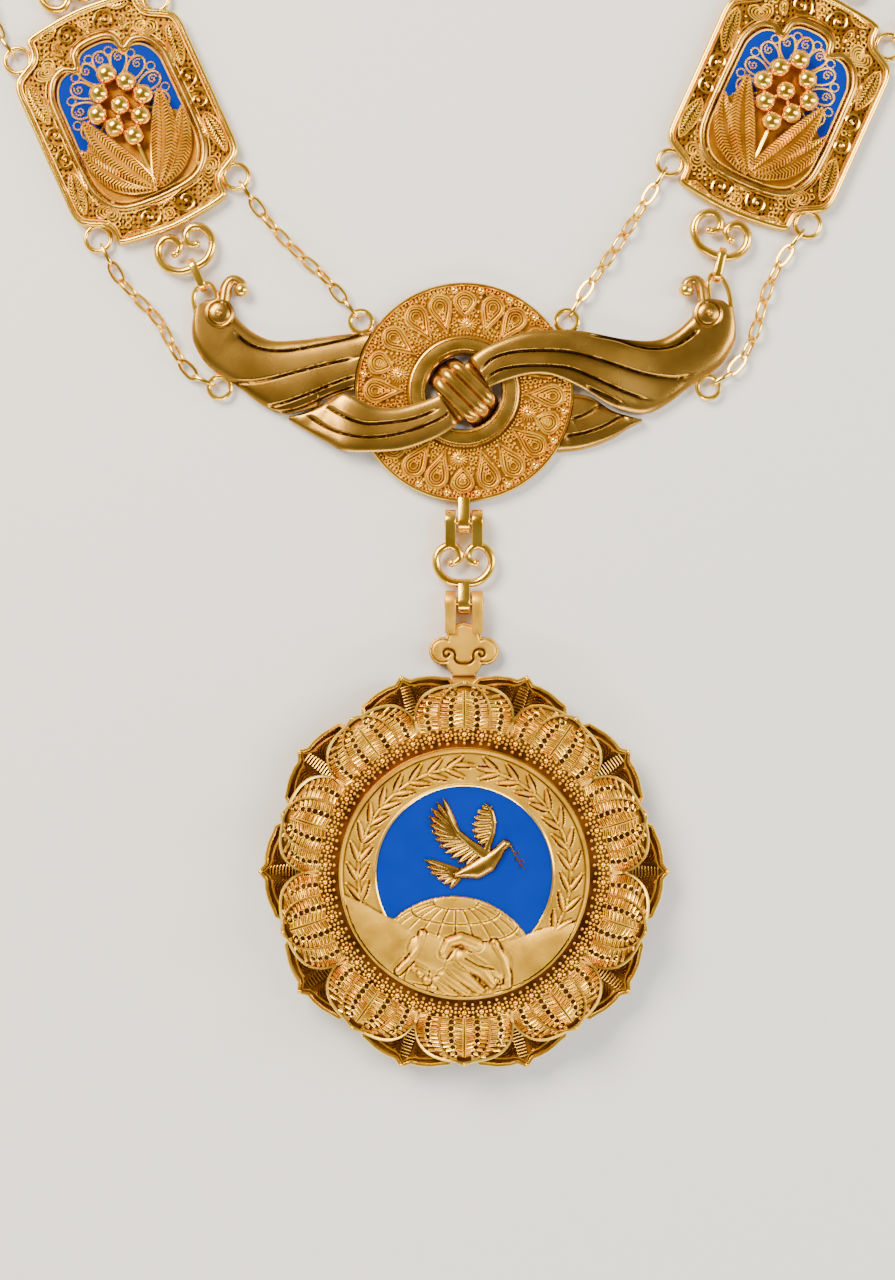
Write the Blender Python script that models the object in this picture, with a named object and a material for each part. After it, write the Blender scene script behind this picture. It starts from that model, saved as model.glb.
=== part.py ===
"""Award medal: a gilt chain of office with a lotus badge, lying flat on its back.

The origin is the centre of the badge's flat back. +Z points at the viewer, +Y runs from the badge up to
the neck, and +X to the right. All lengths are metres.
"""

import math

import bmesh
import bpy
from mathutils import Matrix, Vector

MM = 0.001

# Clearance between pieces that are soldered, set or hooked together on the real jewel
GAP = 0.3 * MM

# Badge: the drum is a little wider than the medallion that it carries, and the back wider than the drum
MEDALLION_RADIUS = 24.6 * MM
DRUM_STEP = 0.9 * MM
BACK_STEP = 4.5 * MM
DRUM_RADIUS = MEDALLION_RADIUS + DRUM_STEP
BACK_RADIUS = DRUM_RADIUS + BACK_STEP
BACK_THICKNESS = 1.2 * MM
DRUM_WALL = 2.2 * MM
DRUM_HEIGHT = 7.2 * MM
PETALS = 10
OUTER_TIP_RADIUS = 40.6 * MM
TIER_STEP = 2.8 * MM
INNER_TIP_RADIUS = OUTER_TIP_RADIUS - TIER_STEP
PETAL_THICKNESS = 1.2 * MM
OUTER_TIER_HEIGHT = 3.6 * MM
OUTER_TIP_LIFT = 2.7 * MM
INNER_PETAL_RISE = 1.9 * MM
INNER_PETAL_DROP = 3.0 * MM
GRANULE_RING_STEP = 2.4 * MM
GRANULE_RING_RADIUS = MEDALLION_RADIUS + GRANULE_RING_STEP
GRANULE_RING_WIRE = 1.8 * MM
MEDALLION_THICKNESS = 2.6 * MM
MEDALLION_RIM = 0.6 * MM
RIM_WIDTH = 0.8 * MM
LAUREL_BAND = 7.4 * MM
ENAMEL_RADIUS = MEDALLION_RADIUS - LAUREL_BAND
RECESS_DEPTH = 1.0 * MM
ENAMEL_THICKNESS = 0.5 * MM
WREATH_STEP = 3.5 * MM
WREATH_RADIUS = ENAMEL_RADIUS + WREATH_STEP
WREATH_PAIRS = 10
LEAF_SPREAD = 0.9 * MM
LEAF_HEIGHT = 0.8 * MM
LEAF_LENGTH = 4.3 * MM
LEAF_WIDTH = 1.2 * MM
DOVE_THICKNESS = 0.8 * MM

# Hinges between the knot, the connector and the badge
HINGE_HEIGHT = 2.4 * MM
KNUCKLE_RADIUS = 2.4 * MM
BAIL_REACH = 12.9 * MM
CONNECTOR_REACH = 16.2 * MM
LOWER_HINGE_Y = OUTER_TIP_RADIUS + BAIL_REACH
UPPER_HINGE_Y = LOWER_HINGE_Y + CONNECTOR_REACH
PIN_RADIUS = 0.7 * MM
PIN_CLEARANCE = 0.35 * MM
TONGUE_WIDTH = 2.4 * MM
TONGUE_CLEARANCE = 0.4 * MM
LUG_WIDTH = 2.2 * MM
STRAP_THICKNESS = 2.4 * MM

# Cloud-shaped bail
CLOUD_THICKNESS = 2.6 * MM
CLOUD_DOME_RADIUS = 3.7 * MM
CLOUD_LOBE_RADIUS = 2.8 * MM
CLOUD_LOBE_REACH = 4.2 * MM
CLOUD_LOBE_DROP = 2.0 * MM
CLOUD_DROP = 5.3 * MM
CLOUD_FOOT_WIDTH = 9.2 * MM
BAIL_WAIST = 1.4 * MM
BAIL_NECK_WIDTH = 4.8 * MM
BAIL_NECK_THICKNESS = 1.6 * MM

# Scroll links and jump links
SCROLL_HALF_WIDTH = 6.5 * MM
SCROLL_WIRE = 1.7 * MM
SCROLL_BALL = 1.7 * MM
# Shares of SCROLL_HALF_WIDTH: the scroll's depth below its centre, the bow of its closed end, and how far
# along that end the right-hand jump link bears
SCROLL_DEPTH = 0.60
SCROLL_BOW = 0.68
BEARING_SHIFT = 0.31
LINK_BAND_HEIGHT = 2.0 * MM
JUMP_LENGTH = 7.2 * MM
JUMP_HEIGHT = 3.9 * MM
JUMP_THICKNESS = 0.8 * MM
JUMP_WIDTH = 1.6 * MM

# Knot of the collar
KNOT_RADIUS = 22.0 * MM
KNOT_REACH = 4.0 * MM
KNOT_Y = UPPER_HINGE_Y + KNOT_REACH + KNOT_RADIUS
KNOT_THICKNESS = 2.0 * MM
KNOT_RIM = 0.4 * MM
WINDOW_RADIUS = 7.6 * MM
KNOT_RING_RADIUS = 11.1 * MM
KNOT_RING_THICKNESS = 0.9 * MM
BAND_THICKNESS = 1.2 * MM
BAND_CROWN = 0.35 * MM
BAND_UNDER = 2.0 * MM
STRAP_HALF_WIDTH = 3.8 * MM
TEARDROP_LENGTH = 8.3 * MM
TEARDROP_WIDTH = 4.6 * MM
TEARDROP_RADIUS = 17.2 * MM
TEARDROP_RISE = 0.6 * MM
TEARDROPS = 20
# Teardrops that the crossing band would hide are left off; the first three of the circle stay
TEARDROPS_SHOWN = 3
FIRST_TEARDROP = math.radians(94.0)
BAND_HIDES_FROM = math.radians(14.0)
BAND_HIDES = math.radians(58.0)

# Wings
WING_REACH = 54.6 * MM
WING_THICKNESS = 3.0 * MM
WING_EDGE = 1.6 * MM
BOSS_RADIUS = 3.0 * MM
BOSS_RISE = 0.5 * MM
HOOK_WIRE = 1.5 * MM
HOOK_BALL = 3.0 * MM
RING_WIRE = 1.0 * MM
WING_RING_RADIUS = 2.2 * MM
RING_FOOT_RADIUS = 0.8 * MM
RING_FOOT_DEPTH = 0.45 * MM
BOSS_FOOT = 0.4 * MM

# Plaques
PLAQUE_HALF_WIDTH = 18.15 * MM
PLAQUE_HALF_HEIGHT = 24.0 * MM
PLAQUE_THICKNESS = 2.6 * MM
PLAQUE_FLOOR = 1.0 * MM
PLAQUE_TILT = math.radians(24.3)
PLAQUE_RING_RADIUS = 2.5 * MM
PLAQUE_RING_IN = 2.95 * MM
PLAQUE_RING_DOWN = 4.4 * MM
# Plaque centres: how far out and up from the middle of the hang loop on each wing
LEFT_PLAQUE_OUT = 16.1 * MM
LEFT_PLAQUE_UP = 38.1 * MM
RIGHT_PLAQUE_OUT = 11.7 * MM
RIGHT_PLAQUE_UP = 40.9 * MM
PANEL_HALF_WIDTH = 11.8 * MM
PANEL_HALF_HEIGHT = 16.4 * MM
ENAMEL_SHEET = 0.5 * MM
BERRY_RADIUS = 1.9 * MM
BERRY_PITCH = 3.6 * MM
SPRAY_THICKNESS = 1.0 * MM

# Chains
CHAIN_HEIGHT = 1.45 * MM
CHAIN_TUBE = 2.6 * MM
GATHER_RING_RADIUS = 3.0 * MM
GATHER_RING_WIRE = 1.4 * MM
CLASP_LENGTH = 14.0 * MM
CLASP_RADIUS = 2.3 * MM

# Chosen points of each chain between its two rings, in millimetres from the origin
FESTOON_ROUTES = {
    "left_outer_festoon": [(-68.6, 117.8), (-61.6, 110.6), (-58.3, 104.5), (-54.6, 99.2)],
    "left_inner_festoon": [(-40.2, 131.2), (-34.0, 124.2), (-27.6, 118.4)],
    "right_inner_festoon": [(35.6, 132.6), (28.8, 122.2), (24.4, 116.2)],
    "right_outer_festoon": [(64.0, 122.6), (60.6, 115.6), (58.4, 107.6), (54.8, 100.8)],
}

# The stretch past the picture, as shares of its own half-width and of its height above the gather rings
NECK_HALF_WIDTH = 106.5 * MM
NECK_TOP_Y = 420.0 * MM
NECK_ROUTE = [(0.885, 0.09), (0.955, 0.21), (0.995, 0.36), (0.995, 0.52), (0.94, 0.68), (0.80, 0.82),
              (0.58, 0.925), (0.32, 0.985)]

# Heights inside the knot
DISC_TOP = KNOT_THICKNESS + KNOT_RIM
RING_LOW = KNOT_THICKNESS + GAP
BAND_OVER = RING_LOW + KNOT_RING_THICKNESS + GAP
STRAP_LOW = BAND_UNDER + BAND_THICKNESS + GAP

# Middles of the connector's scroll and of the bail's cloud, and half the room between the lugs
FORK_HALF = TONGUE_WIDTH / 2.0 + TONGUE_CLEARANCE
SCROLL_Y = (UPPER_HINGE_Y + LOWER_HINGE_Y) / 2.0 - 0.4 * MM
CLOUD_Y = LOWER_HINGE_Y - KNUCKLE_RADIUS - CLOUD_DROP

# Outline and form tables, as shares chosen by hand of the sizes named beside them
# Plaque outline: x of PLAQUE_HALF_WIDTH, y of PLAQUE_HALF_HEIGHT, one quarter from the side to the end
PLAQUE_QUARTER = [(1.0, 0.52), (0.985, 0.60), (0.935, 0.665), (0.83, 0.715), (0.71, 0.765), (0.67, 0.83),
                  (0.665, 0.915), (0.58, 0.955), (0.30, 0.985)]
# Panel outline: x of PANEL_HALF_WIDTH, y of PANEL_HALF_HEIGHT, right side from the foot to the top
PANEL_SIDE = [(0.32, -1.0), (0.70, -0.93), (0.92, -0.74), (1.0, -0.45), (1.0, 0.35), (0.97, 0.58),
              (0.82, 0.76), (0.60, 0.82), (0.42, 0.76), (0.36, 0.92), (0.18, 1.0)]
# Berries: column and row steps of BERRY_PITCH from the middle of the bunch
BERRY_STEPS = [(0.0, 1.9), (0.82, 1.06), (-0.82, 1.06), (1.37, 0.04), (0.0, 0.0), (-1.37, 0.04),
               (0.78, -0.98), (-0.78, -0.98), (0.0, -1.84)]
BUNCH_Y = 0.14
# Leaves: tip x and y as shares of the panel's half sizes, and width of the leaf of PANEL_HALF_WIDTH
PLAQUE_LEAVES = [(-0.95, -0.18, 0.30), (-0.71, 0.12, 0.36), (0.71, 0.12, 0.36), (0.95, -0.18, 0.30)]
LEAF_ROOT_Y = -0.90
# Band and wing sections: upper and lower edge from the knot's centre, as shares of WING_REACH, and the
# shares of the width where two feather lines lie
BAND_SECTIONS = [
    ((-0.049, 0.049), (0.049, -0.049), 0.33, 0.66),
    ((0.004, 0.102), (0.101, 0.003), 0.33, 0.66),
    ((0.036, 0.130), (0.095, 0.014), 0.36, 0.70),
    ((0.099, 0.170), (0.159, 0.040), 0.42, 0.76),
    ((0.211, 0.212), (0.248, 0.062), 0.44, 0.78),
    ((0.308, 0.223), (0.331, 0.055), 0.44, 0.76),
    ((0.436, 0.219), (0.436, 0.010), 0.43, 0.73),
]
WING_SECTIONS = [
    ((0.585, 0.193), (0.546, -0.053), 0.43, 0.74),
    ((0.697, 0.189), (0.659, -0.080), 0.45, 0.78),
    ((0.772, 0.219), (0.745, -0.045), 0.60, 0.92),
    ((0.832, 0.272), (0.830, 0.020), 0.72, 0.95),
    ((0.862, 0.318), (0.935, 0.092), 0.76, 0.95),
    ((0.880, 0.340), (0.988, 0.170), 0.76, 0.95),
    ((0.905, 0.345), (1.000, 0.235), 0.76, 0.95),
    ((0.945, 0.338), (0.989, 0.300), 0.76, 0.95),
]
BAND_TAIL = [
    ((0.508, 0.183), (0.502, 0.037), 0.46, 0.90),
    ((0.583, 0.141), (0.579, 0.072), 0.40, 0.80),
    ((0.645, 0.103), (0.641, 0.088), 0.40, 0.80),
]
# Wing roots end under the disc's rim, so their first sections are shares of the disc's radius
ROOT = KNOT_RADIUS / WING_REACH
LEFT_WING_ROOT = [
    ((0.82 * ROOT, 0.556 * ROOT), (0.93 * ROOT, 0.042 * ROOT), 0.30, 0.70),
    ((0.516, 0.203), (0.516, -0.028), 0.36, 0.76),
]
LOWER_WING_SECTIONS = [
    ((0.92 * ROOT, -0.015 * ROOT), (0.82 * ROOT, -0.55 * ROOT), 0.28, 0.62),
    ((0.458, -0.014), (0.436, -0.210), 0.30, 0.66),
    ((0.545, -0.066), (0.533, -0.177), 0.36, 0.70),
    ((0.616, -0.089), (0.607, -0.132), 0.40, 0.72),
    ((0.655, -0.099), (0.653, -0.110), 0.40, 0.72),
]
BOSS_CENTRE = (0.895, 0.286)
HOOK_PATH = [(0.882, 0.318), (0.872, 0.385), (0.848, 0.412), (0.818, 0.400), (0.816, 0.374)]
# Chain rings: the top one's place along the upper edge, and the side one's centre
WING_TOP_RING = 0.378
WING_SIDE_RING = (0.898, 0.018)
HANG_LOOP_FEET = ((0.903, 0.328), (0.984, 0.288))
# Strands past the picture, between a plaque's upper rings and its gather ring: how far up in
# PLAQUE_HALF_HEIGHT and how far out in PLAQUE_HALF_WIDTH from the plaque's centre
STRAND_WAYS = [(1.208, 0.915), (1.521, 0.683)]
# Dove outlines, as shares of ENAMEL_RADIUS from the medallion's centre
DOVE_LEFT_WING = [(-0.26, 0.90), (-0.15, 0.64), (0.02, 0.38), (0.22, 0.23), (0.05, 0.10), (-0.20, 0.25),
                  (-0.35, 0.50), (-0.41, 0.84)]
DOVE_RIGHT_WING = [(0.28, 0.79), (0.35, 0.56), (0.34, 0.39), (0.27, 0.26), (0.13, 0.44), (0.14, 0.63)]
DOVE_TAIL = [(-0.47, 0.17), (-0.25, 0.10), (-0.06, 0.04), (-0.03, -0.08), (-0.15, -0.19), (-0.31, -0.05)]
DOVE_BODY = [(-0.13, 0.03), (0.06, 0.15), (0.22, 0.26), (0.38, 0.37), (0.47, 0.41), (0.56, 0.34),
             (0.48, 0.28), (0.41, 0.13), (0.27, -0.05), (0.08, -0.08), (-0.10, -0.06)]
# Medallion figures, as shares of MEDALLION_RADIUS from its centre
GLOBE_CENTRE = (-0.126, -0.874)
GLOBE_RADIUS = 0.70
LEFT_ARM = [(-0.985, -0.150), (-0.545, -0.362)]
RIGHT_ARM = [(0.455, -0.482), (0.925, -0.375)]
LEFT_ARM_SECTIONS = [((-0.93, -0.19), (-0.88, -0.42)), ((-0.62, -0.35), (-0.70, -0.64)),
                     ((-0.38, -0.46), (-0.55, -0.76))]
RIGHT_ARM_SECTIONS = [((0.88, -0.40), (0.74, -0.62)), ((0.55, -0.47), (0.55, -0.78)),
                      ((0.22, -0.55), (0.35, -0.90))]
HAND_SECTIONS = [((-0.42, -0.50), (-0.52, -0.76)), ((-0.22, -0.49), (-0.32, -0.86)),
                 ((0.00, -0.51), (0.02, -0.94)), ((0.20, -0.56), (0.30, -0.90))]


def clear_scene():
    """Remove whatever the file opened with."""
    for item in list(bpy.data.objects):
        bpy.data.objects.remove(item, do_unlink=True)


def metal(name, colour, roughness):
    """A gilt finish."""
    return finish(name, colour, roughness, 1.0)


def finish(name, colour, roughness, metallic):
    """A Principled material with the piece's own colour."""
    material = bpy.data.materials.new(name)
    material.use_nodes = True
    shader = material.node_tree.nodes["Principled BSDF"]
    shader.inputs["Base Color"].default_value = (*colour, 1.0)
    shader.inputs["Roughness"].default_value = roughness
    shader.inputs["Metallic"].default_value = metallic
    return material


def close_mesh(bm):
    """Weld the mesh and point its faces outwards."""
    bmesh.ops.remove_doubles(bm, verts=bm.verts[:], dist=0.001 * MM)
    bare = [edge for edge in bm.edges if not edge.link_faces]
    bmesh.ops.delete(bm, geom=bare, context="EDGES")
    bmesh.ops.recalc_face_normals(bm, faces=bm.faces[:])
    return bm


def slab(outline, low, high):
    """Extrude a flat outline, a list of x, y pairs, from height low to high."""
    bm = bmesh.new()
    corners = [bm.verts.new((x, y, low)) for x, y in outline]
    foot = bm.faces.new(corners)
    top = bmesh.ops.extrude_face_region(bm, geom=[foot])["geom"]
    raised = [item for item in top if isinstance(item, bmesh.types.BMVert)]
    bmesh.ops.translate(bm, verts=raised, vec=(0.0, 0.0, high - low))
    if foot.is_valid is False or len(bm.faces) < len(outline) + 2:
        bmesh.ops.holes_fill(bm, edges=bm.edges[:])
    return close_mesh(bm)


def skin(columns, rows, top, under, wrap=False):
    """A closed sheet: top(u, v) and under(u, v) give its two faces for u and v from 0 to 1."""
    bm = bmesh.new()
    bmesh.ops.create_grid(bm, x_segments=columns, y_segments=rows, size=1.0)
    across = bm.verts.layers.float.new("across")
    along = bm.verts.layers.float.new("along")
    for vert in bm.verts:
        vert[across] = (vert.co.x + 1.0) / 2.0
        vert[along] = (vert.co.y + 1.0) / 2.0
        vert.co = top(vert[across], vert[along])
    if wrap:
        bmesh.ops.remove_doubles(bm, verts=bm.verts[:], dist=0.001 * MM)
    moved = bmesh.ops.extrude_face_region(bm, geom=bm.faces[:], use_keep_orig=True)["geom"]
    for item in moved:
        if isinstance(item, bmesh.types.BMVert):
            item.co = under(item[across], item[along])
    return close_mesh(bm)


def turned(profile, steps):
    """Spin a closed outline of radius, height pairs round Z."""
    bm = bmesh.new()
    corners = [bm.verts.new((radius, 0.0, height)) for radius, height in profile]
    edges = [bm.edges.new((a, b)) for a, b in zip(corners, corners[1:] + corners[:1])]
    bmesh.ops.spin(bm, geom=corners + edges, cent=(0.0, 0.0, 0.0), axis=(0.0, 0.0, 1.0),
                   dvec=(0.0, 0.0, 0.0), angle=2.0 * math.pi, steps=steps, use_merge=True)
    return close_mesh(bm)


def ring(centre, mean_radius, wire, steps=10, sides=5):
    """A round wire ring lying flat."""
    profile = [(mean_radius + wire / 2.0 * math.cos(2.0 * math.pi * (i + 0.5) / sides),
                wire / 2.0 * math.sin(2.0 * math.pi * (i + 0.5) / sides)) for i in range(sides)]
    bm = turned(profile, steps)
    bmesh.ops.translate(bm, verts=bm.verts[:], vec=centre)
    return bm


def disc(radius, low, high, sides, centre=(0.0, 0.0)):
    """A round prism standing on Z."""
    bm = bmesh.new()
    bmesh.ops.create_cone(bm, cap_ends=True, segments=sides, radius1=radius, radius2=radius,
                          depth=high - low)
    bmesh.ops.translate(bm, verts=bm.verts[:], vec=(centre[0], centre[1], (low + high) / 2.0))
    return close_mesh(bm)


def cross_pin(radius, x_low, x_high, y, z, sides=12):
    """A round prism lying along X."""
    bm = bmesh.new()
    bmesh.ops.create_cone(bm, cap_ends=True, segments=sides, radius1=radius, radius2=radius,
                          depth=x_high - x_low, matrix=Matrix.Rotation(math.pi / 2.0, 4, "Y"))
    bmesh.ops.translate(bm, verts=bm.verts[:], vec=((x_low + x_high) / 2.0, y, z))
    return close_mesh(bm)


def block(low, high):
    """A box between two corners."""
    size = [b - a for a, b in zip(low, high)]
    middle = [(a + b) / 2.0 for a, b in zip(low, high)]
    bm = bmesh.new()
    bmesh.ops.create_cube(bm, size=1.0, matrix=Matrix.Translation(middle) @ Matrix.Diagonal((*size, 1.0)))
    return close_mesh(bm)


def ball(centre, radius, sides=10, rings=6):
    """A round bead."""
    bm = bmesh.new()
    bmesh.ops.create_uvsphere(bm, u_segments=sides, v_segments=rings, radius=radius,
                              matrix=Matrix.Translation(centre))
    return close_mesh(bm)


def dome(centre, radius):
    """A round bead cut flat a little below its middle."""
    bm = ball(centre, radius, 10, 4)
    cut = bmesh.ops.bisect_plane(bm, geom=bm.verts[:] + bm.edges[:] + bm.faces[:],
                                 plane_co=(0.0, 0.0, centre[2] - 0.3 * radius), plane_no=(0.0, 0.0, 1.0),
                                 clear_inner=True)
    rim = [item for item in cut["geom_cut"] if isinstance(item, bmesh.types.BMEdge)]
    bmesh.ops.holes_fill(bm, edges=rim)
    return close_mesh(bm)


def wire(points, radii, resolution=1):
    """A round wire along open points, as a curve with a bevel and filled ends, turned into a mesh."""
    curve = bpy.data.curves.new("wire", "CURVE")
    curve.dimensions = "3D"
    curve.bevel_depth = 1.0
    curve.bevel_resolution = resolution
    curve.use_fill_caps = True
    spline = curve.splines.new("POLY")
    spline.points.add(len(points) - 1)
    for point, place, radius in zip(spline.points, points, radii):
        point.co = (*place, 1.0)
        point.radius = radius
    holder = bpy.data.objects.new("wire", curve)
    bpy.context.collection.objects.link(holder)
    depsgraph = bpy.context.evaluated_depsgraph_get()
    mesh = bpy.data.meshes.new_from_object(holder.evaluated_get(depsgraph))
    bm = bmesh.new()
    bm.from_mesh(mesh)
    bpy.data.objects.remove(holder, do_unlink=True)
    bpy.data.meshes.remove(mesh)
    return close_mesh(bm)


def holder_for(bm, name):
    """A scene object that holds a bmesh while it is combined."""
    mesh = bpy.data.meshes.new(name)
    bm.to_mesh(mesh)
    bm.free()
    item = bpy.data.objects.new(name, mesh)
    bpy.context.collection.objects.link(item)
    return item


def combine(bodies, operation="UNION"):
    """Join closed bodies into one, or cut the later ones from the first."""
    base = holder_for(bodies[0], "base")
    for body in bodies[1:]:
        other = holder_for(body, "other")
        modifier = base.modifiers.new("combine", "BOOLEAN")
        modifier.operation = operation
        modifier.solver = "EXACT"
        modifier.object = other
        depsgraph = bpy.context.evaluated_depsgraph_get()
        result = bpy.data.meshes.new_from_object(base.evaluated_get(depsgraph))
        base.modifiers.clear()
        base.data = result
        bpy.data.objects.remove(other, do_unlink=True)
    bm = bmesh.new()
    bm.from_mesh(base.data)
    bpy.data.objects.remove(base, do_unlink=True)
    bmesh.ops.remove_doubles(bm, verts=bm.verts[:], dist=0.001 * MM)
    bmesh.ops.dissolve_degenerate(bm, dist=0.001 * MM, edges=bm.edges[:])
    return bm


def gather(bodies):
    """Put separate closed bodies side by side in one bmesh."""
    bm = bmesh.new()
    for body in bodies:
        mesh = bpy.data.meshes.new("part")
        body.to_mesh(mesh)
        body.free()
        bm.from_mesh(mesh)
        bpy.data.meshes.remove(mesh)
    return bm


def turn_bm(bm, matrix):
    """Move a bmesh by a matrix and keep its faces outwards."""
    bmesh.ops.transform(bm, matrix=matrix, verts=bm.verts[:])
    bmesh.ops.recalc_face_normals(bm, faces=bm.faces[:])
    return bm


def add_piece(name, bm, material, carrier=None, matrix=None):
    """Make a named piece; its mesh is kept relative to the empty that carries it."""
    if carrier is not None:
        bmesh.ops.translate(bm, verts=bm.verts[:], vec=-carrier["place"])
    mesh = bpy.data.meshes.new(name)
    bm.to_mesh(mesh)
    bm.free()
    mesh.materials.append(material)
    mesh.shade_smooth()
    mesh.set_sharp_from_angle(angle=math.radians(35.0))
    item = bpy.data.objects.new(name, mesh)
    bpy.context.collection.objects.link(item)
    if carrier is not None:
        item.parent = carrier["empty"]
    if matrix is not None:
        item.matrix_world = matrix
    return item


def add_carrier(name, place, carrier=None):
    """An empty on a hinge's axis."""
    empty = bpy.data.objects.new(name, None)
    bpy.context.collection.objects.link(empty)
    if carrier is None:
        empty.location = place
    else:
        empty.parent = carrier["empty"]
        empty.location = place - carrier["place"]
    return {"empty": empty, "place": place}


def smooth_route(points, samples=12):
    """Points read from a smooth curve through the chosen points."""
    ends = [points[0] * 2.0 - points[1], *points, points[-1] * 2.0 - points[-2]]
    route = []
    for p0, p1, p2, p3 in zip(ends, ends[1:], ends[2:], ends[3:]):
        for step in range(samples):
            t = step / samples
            route.append(0.5 * ((2.0 * p1) + (p2 - p0) * t + (2.0 * p0 - 5.0 * p1 + 4.0 * p2 - p3) * t ** 2
                                + (3.0 * p1 - p0 - 3.0 * p2 + p3) * t ** 3))
    return route + [points[-1]]


def spaced(route, count, start=0.0, stop=0.0):
    """Evenly spaced points along a route, leaving start and stop off its two ends."""
    lengths = [0.0]
    for a, b in zip(route, route[1:]):
        lengths.append(lengths[-1] + (b - a).length)
    reach = lengths[-1] - start - stop
    places = []
    index = 0
    for step in range(count):
        goal = start + reach * step / (count - 1)
        while index < len(route) - 2 and lengths[index + 1] < goal:
            index += 1
        share = (goal - lengths[index]) / (lengths[index + 1] - lengths[index])
        places.append(route[index].lerp(route[index + 1], share))
    return places


def route_length(route):
    """Length along a route."""
    return sum((b - a).length for a, b in zip(route, route[1:]))


def link_body(centre, direction, roll, length, width, thickness, band=None, steps=10, sides=5):
    """One oval link: a spun wire ring pulled long, turned by roll about its own length."""
    mean = (width - thickness) / 2.0
    profile = [(mean + thickness / 2.0 * math.cos(2.0 * math.pi * (i + 0.5) / sides),
                (band or thickness) / 2.0 * math.sin(2.0 * math.pi * (i + 0.5) / sides))
               for i in range(sides)]
    bm = turned(profile, steps)
    pull = (length - width) / 2.0
    for vert in bm.verts:
        vert.co.x += math.copysign(pull, vert.co.x)
    along = direction.normalized()
    side = Vector((0.0, 0.0, 1.0)).cross(along).normalized()
    frame = Matrix((along, side, along.cross(side))).transposed().to_4x4()
    return turn_bm(bm, Matrix.Translation(centre) @ frame @ Matrix.Rotation(roll, 4, "X"))


def point_at(centre, shares, size, mirror=1.0):
    """A point given as shares of one size from a centre."""
    return (centre[0] + mirror * shares[0] * size, centre[1] + shares[1] * size)


def petal_share(u):
    """Where a turn's share lies on its petal, from -1 at one edge over 0 at the tip to 1."""
    place = (u * PETALS) % 1.0
    return 2.0 * place - 1.0


def petal_tier(tip_radius, outline, height, first_tip):
    """Ten petals as one soldered ring."""
    root = DRUM_RADIUS + GAP

    def place(u, v, lower):
        t = petal_share(u)
        radius = root + (tip_radius * outline(t) - root) * v
        angle = first_tip + 2.0 * math.pi * (u - 0.5 / PETALS)
        return Vector((radius * math.cos(angle), radius * math.sin(angle), height(v, t) - lower))

    return skin(PETALS * 6, 3, lambda u, v: place(u, v, 0.0), lambda u, v: place(u, v, PETAL_THICKNESS),
                wrap=True)


def pointed_outline(t):
    """Outer petal: straight sides that meet in a point, with a notch between petals."""
    half = math.pi / PETALS
    share = math.cos(half) / math.cos(half * (1.0 - abs(t)))
    return share - 0.09 * max(0.0, abs(t) - 0.75) / 0.25


def rounded_outline(t):
    """Inner petal: a round arch with a small point."""
    body = math.sqrt(max(0.0, 1.0 - abs(t) ** 3.4))
    point = 0.02 * max(0.0, 1.0 - abs(t) / 0.2)
    return 0.79 + 0.19 * body + point


def outer_height(v, t):
    """Outer petal: hollow, with its rim and point turned up."""
    return OUTER_TIER_HEIGHT + OUTER_TIP_LIFT * v ** 1.6 * (1.0 - 0.45 * abs(t))


def inner_height(v, t):
    """Inner petal: arched along and across."""
    root = BACK_THICKNESS + GAP + DRUM_HEIGHT + GAP
    return root + INNER_PETAL_RISE * math.sin(math.pi * v * 0.86) - INNER_PETAL_DROP * v * t * t


def panel_outline(shrink):
    """Outline of the scalloped panel, pulled in by shrink."""
    width = PANEL_HALF_WIDTH - shrink
    height = PANEL_HALF_HEIGHT - shrink
    right = [(x * width, y * height) for x, y in PANEL_SIDE]
    return right + [(-x, y) for x, y in reversed(right)]


def plaque_outline():
    """Outline of a plaque: long sides, bowed ends and notched corners."""
    quarter = [(x * PLAQUE_HALF_WIDTH, y * PLAQUE_HALF_HEIGHT) for x, y in PLAQUE_QUARTER]
    end = (0.0, PLAQUE_HALF_HEIGHT)
    upper = quarter + [end] + [(-x, y) for x, y in reversed(quarter)]
    return upper + [(-x, -y) for x, y in upper]


def plaque_ring_place(side, end):
    """Centre of the ring in a plaque's corner notch."""
    return (side * (PLAQUE_HALF_WIDTH - PLAQUE_RING_IN), end * (PLAQUE_HALF_HEIGHT - PLAQUE_RING_DOWN))


def leaf_blade(root, tip, width, low, high):
    """A pointed leaf with a raised midrib."""
    run = Vector((tip[0] - root[0], tip[1] - root[1], 0.0))
    side = Vector((-run.y, run.x, 0.0)).normalized()

    def place(u, v, height):
        spread = (u - 0.5) * width * (0.12 + 0.88 * math.sin(math.pi * min(1.0, v * 1.02)) ** 0.8)
        return Vector((root[0], root[1], height)) + run * v + side * spread

    def top(u, v):
        return place(u, v, high - (high - low) * 0.5 * abs(2.0 * u - 1.0))

    return skin(2, 3, top, lambda u, v: place(u, v, low))


def scroll_body(centre_y, height):
    """A scroll link: two C-scrolls that meet, each ending in a small ball."""
    size = SCROLL_HALF_WIDTH
    path = [(-0.10, -SCROLL_DEPTH), (0.42, -SCROLL_DEPTH + 0.06), (0.76, -0.26), (0.865, 0.11),
            (0.74, 0.43), (0.45, 0.575), (0.20, 0.46), (0.115, 0.22), (0.26, 0.05), (0.37, 0.03)]
    halves = []
    for mirror in (1.0, -1.0):
        points = [(mirror * x * size, centre_y + y * size, height) for x, y in path]
        radii = [SCROLL_WIRE / 2.0] * (len(path) - 3) + [SCROLL_WIRE * 0.42, SCROLL_WIRE * 0.36]
        halves.append(wire(points, radii + [SCROLL_BALL / 2.0]))
    return combine(halves)


def scroll_offset():
    """From a plaque's centre to the centre of a scroll soldered to its end."""
    return PLAQUE_HALF_HEIGHT + GAP + SCROLL_DEPTH * SCROLL_HALF_WIDTH + SCROLL_WIRE / 2.0


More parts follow.
